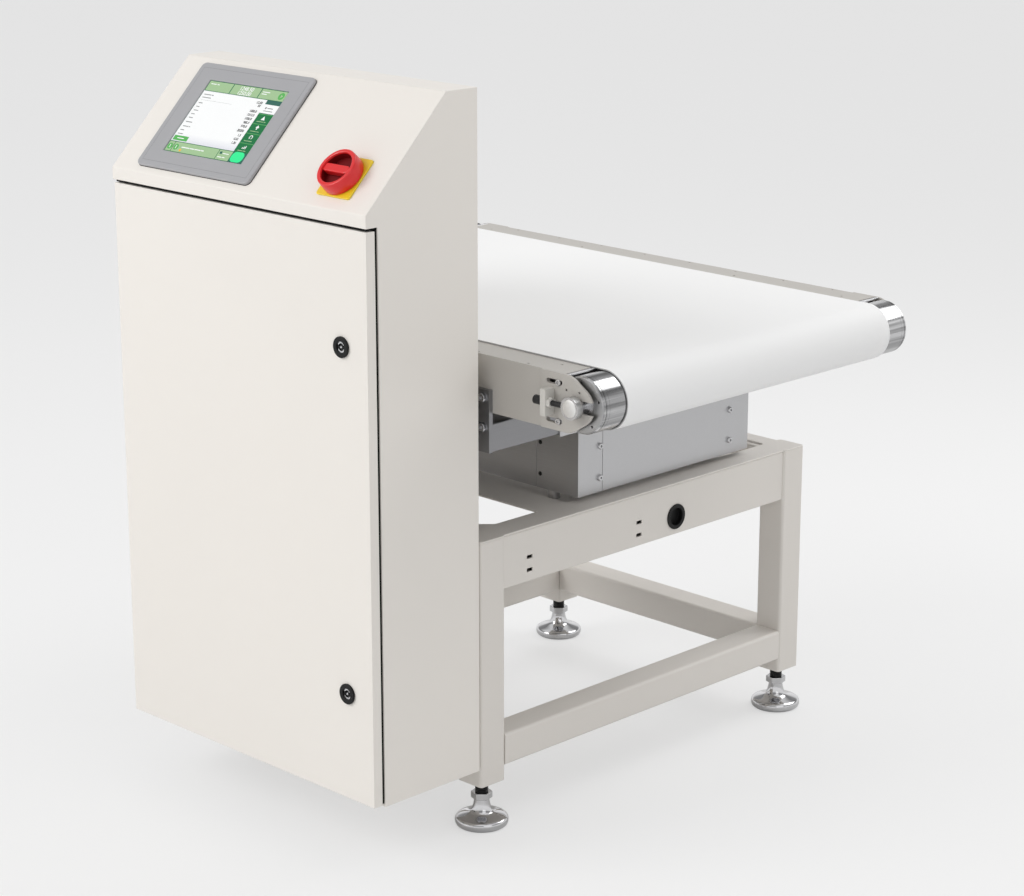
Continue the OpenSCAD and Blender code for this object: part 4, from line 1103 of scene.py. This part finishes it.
def device_fronts():
    """Vent slots drawn as dark strips of painted shade, terminals, key pads and short wires on the front of
    the devices.
    """
    parts = []

    def on_front(node):
        low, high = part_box(node)
        turn = Matrix.Translation((low.x, low.y, low.z)) @ Matrix.Rotation(math.radians(90), 4, "X")
        return turn, (high.x - low.x) / MM, (high.z - low.z) / MM

    def plate(turn, x, z, w, h, thick, colour, r=1.0, edge=0.4):
        outline = rounded_rectangle(x, z, x + w, z + h, r, 4)
        parts.append(prism(outline, -0.2, thick, turn, colour, "front", edge))

    turn, w, h = on_front("power_supply")
    # Dark strips on the power supply paint the shade in its vent slots
    for i in range(11):
        plate(turn, 14, 34 + 7 * i, w - 46, 3.0, 0.1, "dark seam", 1.4, 0)
    plate(turn, 6, 5, w - 12, 20, 4.0, "block", 1.5)
    for i in range(8):
        plate(turn, 11 + 13.4 * i, 9, 8, 8, 5.0, "plain steel", 3.8, 0.5)
    plate(turn, w - 24, h - 22, 10, 10, 2.0, "screen leaf", 4.8, 0.5)
    turn, w, h = on_front("weigh_controller")
    plate(turn, 12, h - 62, w - 24, 50, 1.6, "device light", 3.0)
    plate(turn, 18, h - 54, 84, 34, 2.4, "screen teal", 2.0)
    for i in range(4):
        for down in (50, 34):
            plate(turn, 110 + 13 * i, h - down, 9, 9, 3.2, "block", 2.5)
    for i in range(14):
        plate(turn, 12 + 11.2 * i, 8, 9.0, 22, 5.0, "screen leaf", 0.8)
        plate(turn, 14.4 + 11.2 * i, 12, 4.2, 4.2, 5.4, "plain steel", 2.0, 0)
    turn, w, h = on_front("drum_inverter")
    plate(turn, 10, h - 78, w - 20, 66, 2.0, "device light", 3.0)
    plate(turn, 18, h - 36, w - 36, 17, 2.8, "screen teal", 1.5)
    for i in range(3):
        for j in range(2):
            plate(turn, 18 + 19 * i, h - 55 - 13 * j, 14, 8, 3.4, "block", 2.0)
    # Dark strips on the inverter paint the shade in its vent slots
    for i in range(6):
        plate(turn, 12, 42 + 8 * i, w - 24, 3.4, 0.1, "dark seam", 1.6, 0)
    plate(turn, 10, 7, w - 20, 24, 4.0, "block", 1.5)
    # Wires from the terminals up into the duct, and from the devices down into theirs
    low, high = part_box("terminal_strip")
    plate_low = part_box("mounting_plate")[0]
    duct = plate_low.z + DUCT_LOW
    for i in range(int((high.x - low.x) / 2 / TERMINAL_STEP)):
        x = low.x + 0.013 + TERMINAL_STEP * i
        bend = x + 0.002 * math.sin(2.4 * i)
        points = [(x, low.y + 0.010, high.z - 0.002), (bend, low.y + 0.004, high.z + 0.010)]
        points.append((bend, low.y + 0.012, duct - 0.019))
        parts.append(lead(points, 0.0014, WIRE_COLOURS[i % 3], "wire"))
    inner = plate_low.y - 0.022
    for node, duct, count in DEVICE_WIRES:
        low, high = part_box(node)
        goal = plate_low.z + duct + 0.020
        y = low.y + 0.012
        for i in range(count):
            x = low.x + (high.x - low.x) * (i + 1) / (count + 1)
            points = [(x, y, low.z + 0.002), (x, y - 0.002, low.z - 0.010)]
            points += [(x, inner, goal + 0.006), (x, inner, goal - 0.002)]
            parts.append(lead(points, 0.0016, WIRE_COLOURS[-i % 3], "wire"))
    return joined(parts, "device_fronts")


class InsideOperator(bpy.types.Operator):
    """Dresses the devices on the mounting plate and adds slotted cable ducts"""

    bl_idname = "checkweigher.inside"
    bl_label = "Inside the cabinet"

    # A duct's fingers in metres: size, distance between two, half the height between their rows,
    # and how far their middle stands in front of the mounting plate
    FINGER, PITCH, ROW, OUT = (0.0075, 0.038, 0.0016), 0.0125, 0.0185, 0.0205
    # A duct's ends and first fingers, in from the mounting plate's ends
    END_IN, FINGER_IN = 0.016, 0.022

    def execute(self, context):
        coat("mounting_plate", "zinc")
        eased("power_supply", "plain steel", 1.0)
        eased("weigh_controller", "device grey", 2.0, 3)
        eased("drum_inverter", "device grey", 2.0, 3)
        eased("terminal_strip", "terminal", 0.3)
        place_piece(device_fronts(), "machine", "device_grey")
        inputs = [("Count", "Int", 20), ("Pitch", "Float", self.PITCH), ("Material", "Material", None)]
        tree = Tree("duct_fingers", inputs)
        finger = tree.add("GeometryNodeMeshCube", {}, Size=self.FINGER)
        step = tree.add("ShaderNodeCombineXYZ", {}, X=tree.given("Pitch"))
        row = tree.add("GeometryNodeMeshLine", {}, Count=tree.given("Count"), Offset=step)
        comb = tree.add("GeometryNodeInstanceOnPoints", {}, Points=row, Instance=finger)
        tree.close(tree.add("GeometryNodeInstanceOnPoints", {}, Points=tree.given("Geometry"), Instance=comb))
        low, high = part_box("mounting_plate")
        left, right = low.x + self.END_IN, high.x - self.END_IN
        values = {"Count": int((right - left) / self.PITCH), "Pitch": self.PITCH}
        base = oblong(left / MM, -20, right / MM, 20)
        back = -low.y / MM
        pieces = []
        for z in (low.z + DUCT_LOW, low.z + DUCT_MIDDLE, high.z - DUCT_TOP):
            points = [(low.x + self.FINGER_IN, low.y - self.OUT, z + side * self.ROW) for side in (-1, 1)]
            pieces.append(grown(tree.group, points, [(0, 0, 1)] * 2, "fingers", "duct", **values))
            turn = Matrix.Translation((0, 0, z)) @ Matrix.Rotation(math.radians(90), 4, "X")
            pieces.append(prism(base, back, back + 2, turn, "duct", "duct_base", 0.3))
            pieces.append(prism(base, back + 39.5, back + 42, turn, "duct", "duct_lid", 0.8))
        place_piece(joined(pieces, "cable_ducts"), "machine", "device_grey")
        return {"FINISHED"}


class BoxOperator(bpy.types.Operator):
    """Gives the weigh-cell box its ground sheet and the parts under the belt their steel"""

    bl_idname = "checkweigher.weigh_box"
    bl_label = "Weigh-cell box"

    def execute(self, context):
        edge = sizes().sheet / MM
        eased("box_shell", "box sheet", edge * 0.5, 2)
        eased("box_corner_covers", "box sheet", edge * 0.5, 2)
        eased("box_base", "box sheet", edge)
        # Dark strips behind the seams of the covers paint the shade in the seams, on the front and on both
        # sides: how far the seams are in from the box's corner, and half a strip's width, in millimetres
        low, high = (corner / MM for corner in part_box("box_shell"))
        front_in, side_in, half = 87.4, 53.4, 3
        shade_strips = []
        for side in (-1, 1):
            x, y = side * (high.x - front_in), low.y + side_in
            x0, x1 = sorted((side * (high.x - 1.7), side * (high.x - 3)))
            for strip in ((x - half, low.y + 1.7, x + half, low.y + 3), (x0, y - half, x1, y + half)):
                shade_strips.append(prism(oblong(*strip), low.z + 0.5, high.z - 2.2, LEVEL, "dark seam", "strip"))
        place_piece(joined(shade_strips, "seam_strips"), "machine", "gasket_rubber")
        eased("box_feet", "plain steel", 0.5)
        eased("load_cell", "cell", 0.4)
        eased("carrier_post", "plain steel", 0.4)
        eased("load_carrier", "plain steel", 0.5)
        eased("cross_beams", "beam steel", edge, 2, 50, tight=True)
        return {"FINISHED"}


class ConveyorOperator(bpy.types.Operator):
    """Coats the conveyor's frames and plates and finishes drums, axles and tension parts"""

    bl_idname = "checkweigher.conveyor"
    bl_label = "Conveyor"

    # The collars on the axles' ends: their length in metres, and profiles of rim and face in millimetres
    COLLAR = 0.011
    RIM = [(12.9, 9.0), (13.9, 9.0), (14.0, 10.6), (14.4, 10.9), (15.2, 10.8), (16.0, 10.1), (16.1, 9.6)]
    RIM += [(16.1, 0.2), (15.2, -0.6), (12.9, -0.6)]
    FACE = [(0, 9.0), (12.9, 9.0), (12.9, 10.5), (12.6, 10.9), (12.2, 11.1), (0, 11.1)]

    def execute(self, context):
        edge = sizes().sheet / MM
        for node in ("side_frame_near", "side_frame_far"):
            eased(node, "frame coat", edge, 2, 50, tight=True)
        eased("bearing_plates", "frame coat", edge, 3)
        eased("slider_bed", "bed steel", 0.3)
        eased("nose_bars", "upright steel", 0.4)
        eased("tension_blocks", "block", 0.5, 3, tight=True)
        eased("tension_screws", "blacked", 0.5, tight=True)
        for node in ("drive_drum", "tail_drum"):
            coat(node, "roller steel")
        for node in ("drive_axle", "tail_axle"):
            coat(node, "bright steel")
            low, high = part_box(node)
            for y, way in ((low.y + self.COLLAR, -1), (high.y - self.COLLAR, 1)):
                turn = facing(Vector((middle(node).x, y, middle("tail_axle").z)), (0, way, 0))
                cap = [
                    lathe(self.RIM, 72, turn, "collar steel", "rim", True),
                    lathe(self.FACE, 72, turn, "axle face", "disc"),
                ]
                place_piece(joined(cap, node + "_collar"), body_of_node(node), "stainless")
        return {"FINISHED"}


class BeltOperator(bpy.types.Operator):
    """Sweeps the belt's section round both drums"""

    bl_idname = "checkweigher.belt"
    bl_label = "Belt"

    def execute(self, context):
        low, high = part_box("belt")
        centre = middle("belt")
        # Thickness of the belt and rounding of its edges in metres, and steps of the path round a drum
        thick, round_off, arc_steps = 0.002, 0.0006, 48
        outer = (high.z - low.z) / 2
        run, r = high.x - outer, outer - thick / 2
        path = []
        for side, start in ((1, 90), (-1, 270)):
            for i in range(arc_steps + 1):
                a = math.radians(start - 180 * i / arc_steps)
                path.append((side * run + r * math.cos(a), centre.y, centre.z + r * math.sin(a)))
        curve = bpy.data.curves.new("belt_path", "CURVE")
        curve.dimensions = "3D"
        spline = curve.splines.new("POLY")
        spline.points.add(len(path) - 1)
        for point, place in zip(spline.points, path):
            point.co = (*place, 1.0)
        spline.use_cyclic_u = True
        inputs = [("Width", "Float", 0.59), ("Thickness", "Float", thick), ("Edge", "Float", round_off)]
        tree = Tree("belt_sweep", inputs + [("Material", "Material", None)])
        wide, tall, edge = (tree.given(label) for label, kind, value in inputs)
        section = tree.add("GeometryNodeCurvePrimitiveQuadrilateral", {}, Width=wide, Height=tall)
        section = tree.add("GeometryNodeFilletCurve", {}, Curve=section, Radius=edge)
        straight = {"Curve": tree.given("Geometry"), "Normal": (0, 1, 0)}
        straight = tree.add("GeometryNodeSetCurveNormal", {"mode": "FREE"}, **straight)
        swept = {"Curve": straight, "Profile_Curve": section, "Fill_Caps": False}
        tree.close(tree.add("GeometryNodeCurveToMesh", {}, **swept))
        values = {"Width": high.y - low.y, "Thickness": thick}
        mesh = grow(linked("belt_path", curve), tree.group, "belt cover", **values)
        net = bmesh.new()
        net.from_mesh(mesh)
        bmesh.ops.remove_doubles(net, verts=net.verts, dist=1e-6)
        belt = finish_mesh(net_mesh(net, "belt_swept", LEVEL), "belt_swept", "belt cover", 40)
        place_piece(belt, "machine", "belt_white", ["belt"])
        return {"FINISHED"}


class FastenerOperator(bpy.types.Operator):
    """Grows the screw heads of box, brackets and bearing plates on their points"""

    bl_idname = "checkweigher.fasteners"
    bl_label = "Fasteners"

    # Height and socket radius of the heads whose radius is a setting, in metres
    BOX, BOLT = (0.0036, 0.0021), (0.005, 0.0035)
    # Radius, height and socket radius of the others
    RECESS, PLATE = (0.0034, 0.0009, 0.0018), (0.0047, 0.0025, 0.0022)
    # Box screws: their heights as shares of the box's, and their distances from its edges
    ROWS, FRONT_IN, REAR_IN, RECESS_IN = (0.22, 0.706), 0.047, 0.046, 0.079
    # Bearing plates: screws at both slots, along X and from the axle's height
    SLOT_X, SLOT_RISE = 0.4137, 0.0275
    # Brackets: middle of the bolts along X, half their distance, and their rows from the beams' foot and top
    BRACKET_X, BOLT_HALF, BOLT_LOW, BOLT_HIGH = 0.260, 0.009, 0.037, 0.0115

    def execute(self, context):
        group = screw_tree()

        def heads(name, coating, spots, radius, height, socket):
            points, aims = zip(*spots)
            values = {"Head_radius": radius, "Head_height": height, "Socket_radius": socket}
            return grown(group, points, aims, name, coating, **values)

        low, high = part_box("box_shell")
        rows = [low.z + (high.z - low.z) * share for share in self.ROWS]
        ends = [(x, (way, 0, 0)) for x, way in ((high.x, 1), (low.x, -1))]
        lines = (low.y + self.FRONT_IN, high.y - self.REAR_IN)
        sides = [((x, y, z), aim) for z in rows for y in lines for x, aim in ends]
        recess_x = high.x - self.RECESS_IN
        front = [((side * recess_x, low.y - 0.0001, z), (0, -1, 0)) for z in rows for side in (1, -1)]
        made = [
            heads("box_heads", "bright steel", sides, sizes().screw, *self.BOX),
            heads("recess_heads", "blacked", front, *self.RECESS),
        ]
        place_piece(joined(made, "box_screw_heads"), "machine", "stainless", ["box_screws"])

        low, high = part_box("bearing_plates")
        faces = ((low.y, (0, -1, 0)), (high.y, (0, 1, 0)))
        axis = middle("tail_axle").z
        rows = (axis + self.SLOT_RISE, axis - self.SLOT_RISE)
        plates = [((x, y, z), aim) for x in (self.SLOT_X, -self.SLOT_X) for z in rows for y, aim in faces]
        low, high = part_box("cross_beams")
        faces = ((low.y, (0, -1, 0)), (high.y, (0, 1, 0)))
        rows = (low.z + self.BOLT_LOW, high.z - self.BOLT_HIGH)
        lines = [side * self.BRACKET_X + way * self.BOLT_HALF for side in (1, -1) for way in (-1, 1)]
        bolts = [((x, y, z), aim) for x in lines for z in rows for y, aim in faces]
        made = [
            heads("plate_heads", "bright steel", plates, *self.PLATE),
            heads("bolt_heads", "bright steel", bolts, sizes().bolt, *self.BOLT),
        ]
        place_piece(joined(made, "conveyor_screw_heads"), "machine", "stainless", ["conveyor_screws"])
        return {"FINISHED"}


class StageOperator(bpy.types.Operator):
    """Sets the floor, the lamps, the world and the camera"""

    bl_idname = "checkweigher.stage"
    bl_label = "Studio"

    # Half the floor's size in metres, and how white it is where it is seen directly
    FLOOR_HALF, FLOOR_WHITE = 30.0, 0.55
    # Light of the room on the object, and the tone of the backdrop, which is that of the far floor
    ROOM_LIGHT, BACKDROP = 0.62, 0.772
    # The room that metal and glass show: tones from the floor up to the ceiling
    ROOM_TONES = ((0.0, 1.0), (0.30, 0.92), (0.42, 0.34), (0.58, 0.26), (0.74, 0.80), (1.0, 0.96))
    # Soft lamps: place in metres, watts, size
    LAMPS = {
        "key": ((-2.1, -4.2, 3.4), 118.0, 2.8),
        "fill": ((3.6, -1.2, 2.4), 12.0, 2.4),
        "belt light": ((0.8, 2.2, 2.4), 27.0, 1.6),
    }
    LAMP_AIM = (0, 0, 0.6)
    # Camera: place in metres, tilt below level and turn in degrees, sensor in millimetres
    CAMERA, TILT, TURN, SENSOR = (2.8494, -2.7878, 1.6025), 15.70, 44.89, 36.0
    # The lens in pixels of a picture of this width
    LENS, PICTURE = 2644.0, 1024.0

    def floor(self):
        mesh = bpy.data.meshes.new("studio_floor")
        half = self.FLOOR_HALF
        mesh.from_pydata([(x, y, 0) for x, y in oblong(-half, -half, half, half)], [], [(0, 1, 2, 3)])
        paint = Paint("studio floor")
        cloud = paint.noise(0.6, 3.0, 0.5)
        paint.set(Base_Color=paint.mix(cloud, (0.80, 0.80, 0.80), (0.82, 0.82, 0.82)), Roughness=0.6)
        # Seen directly, the floor is part white of its own
        glow = paint.add("ShaderNodeEmission", {}, Color=(0.97, 0.97, 0.97, 1.0), Strength=1.0)
        share = paint.add("ShaderNodeLightPath", output="Is Camera Ray") * self.FLOOR_WHITE
        paint.finish_with(paint.add("ShaderNodeMixShader", {}, share, paint.surface, glow))
        mesh.materials.append(paint.material)
        linked("studio_floor", mesh)

    def room(self, scene):
        world = bpy.data.worlds.new("studio")
        scene.world = world
        world.use_nodes = True
        sky = Shading(world.node_tree, "ShaderNodeOutputWorld")
        seen, glossy, through = (
            sky.add("ShaderNodeLightPath", output="Is %s Ray" % kind)
            for kind in ("Camera", "Glossy", "Transmission")
        )
        aim = sky.add("ShaderNodeTexCoord", output="Generated")
        up = sky.add("ShaderNodeSeparateXYZ", {}, aim, output="Z")
        stops = [(place, (tone, tone, tone, 1)) for place, tone in self.ROOM_TONES]
        tone = sky.mix(seen, sky.add("ShaderNodeValToRGB", {"stops": stops}, up), (self.BACKDROP,) * 3)
        shown = sky.add("ShaderNodeBackground", {}, Color=tone, Strength=1.0)
        light = sky.add("ShaderNodeBackground", {}, Color=(1.0, 1.0, 1.0, 1), Strength=self.ROOM_LIGHT)
        direct = seen.larger(glossy).larger(through)
        sky.finish_with(sky.add("ShaderNodeMixShader", {}, direct, light, shown))

    def execute(self, context):
        scene = bpy.context.scene
        scene.view_settings.view_transform = "Standard"
        self.floor()
        self.room(scene)
        for name, (place, power, size) in self.LAMPS.items():
            data = bpy.data.lights.new(name, "AREA")
            data.energy = power
            data.size = size
            made = linked(name, data)
            made.location = place
            made.rotation_mode = "QUATERNION"
            made.rotation_quaternion = (Vector(self.LAMP_AIM) - Vector(place)).to_track_quat("-Z", "Y")
            made.visible_camera = False
        lens = bpy.data.cameras.new("camera")
        lens.sensor_width = self.SENSOR
        lens.lens = self.SENSOR * self.LENS / self.PICTURE
        camera = linked("camera", lens)
        camera.location = self.CAMERA
        camera.rotation_euler = (math.radians(90 - self.TILT), 0, math.radians(self.TURN))
        scene.camera = camera
        return {"FINISHED"}


class DressingPanel(bpy.types.Panel):
    """Lists the pieces in the sidebar"""

    bl_idname = "VIEW3D_PT_checkweigher"
    bl_label = "Checkweigher"
    bl_space_type = "VIEW_3D"
    bl_region_type = "UI"
    bl_category = "Checkweigher"

    def draw(self, context):
        for operator in OPERATORS:
            self.layout.operator(operator.bl_idname)
        for group in (context.scene.checkweigher_colours, context.scene.checkweigher_sizes):
            box = self.layout.box()
            for key in group.__annotations__:
                box.prop(group, key)


OPERATORS = (
    StandOperator,
    FeetOperator,
    CabinetOperator,
    LocksOperator,
    PanelOperator,
    SwitchOperator,
    InsideOperator,
    BoxOperator,
    ConveyorOperator,
    BeltOperator,
    FastenerOperator,
    StageOperator,
)
CLASSES = (FinishColours, EdgeSizes, *OPERATORS, DressingPanel)


def register():
    for item in CLASSES:
        bpy.utils.register_class(item)
    bpy.types.Scene.checkweigher_colours = bpy.props.PointerProperty(type=FinishColours)
    bpy.types.Scene.checkweigher_sizes = bpy.props.PointerProperty(type=EdgeSizes)


def unregister():
    del bpy.types.Scene.checkweigher_sizes
    del bpy.types.Scene.checkweigher_colours
    for item in reversed(CLASSES):
        bpy.utils.unregister_class(item)


def main():
    register()
    for operator in OPERATORS:
        getattr(bpy.ops.checkweigher, operator.bl_idname.split(".")[1])()


if __name__ == "__main__":
    main()
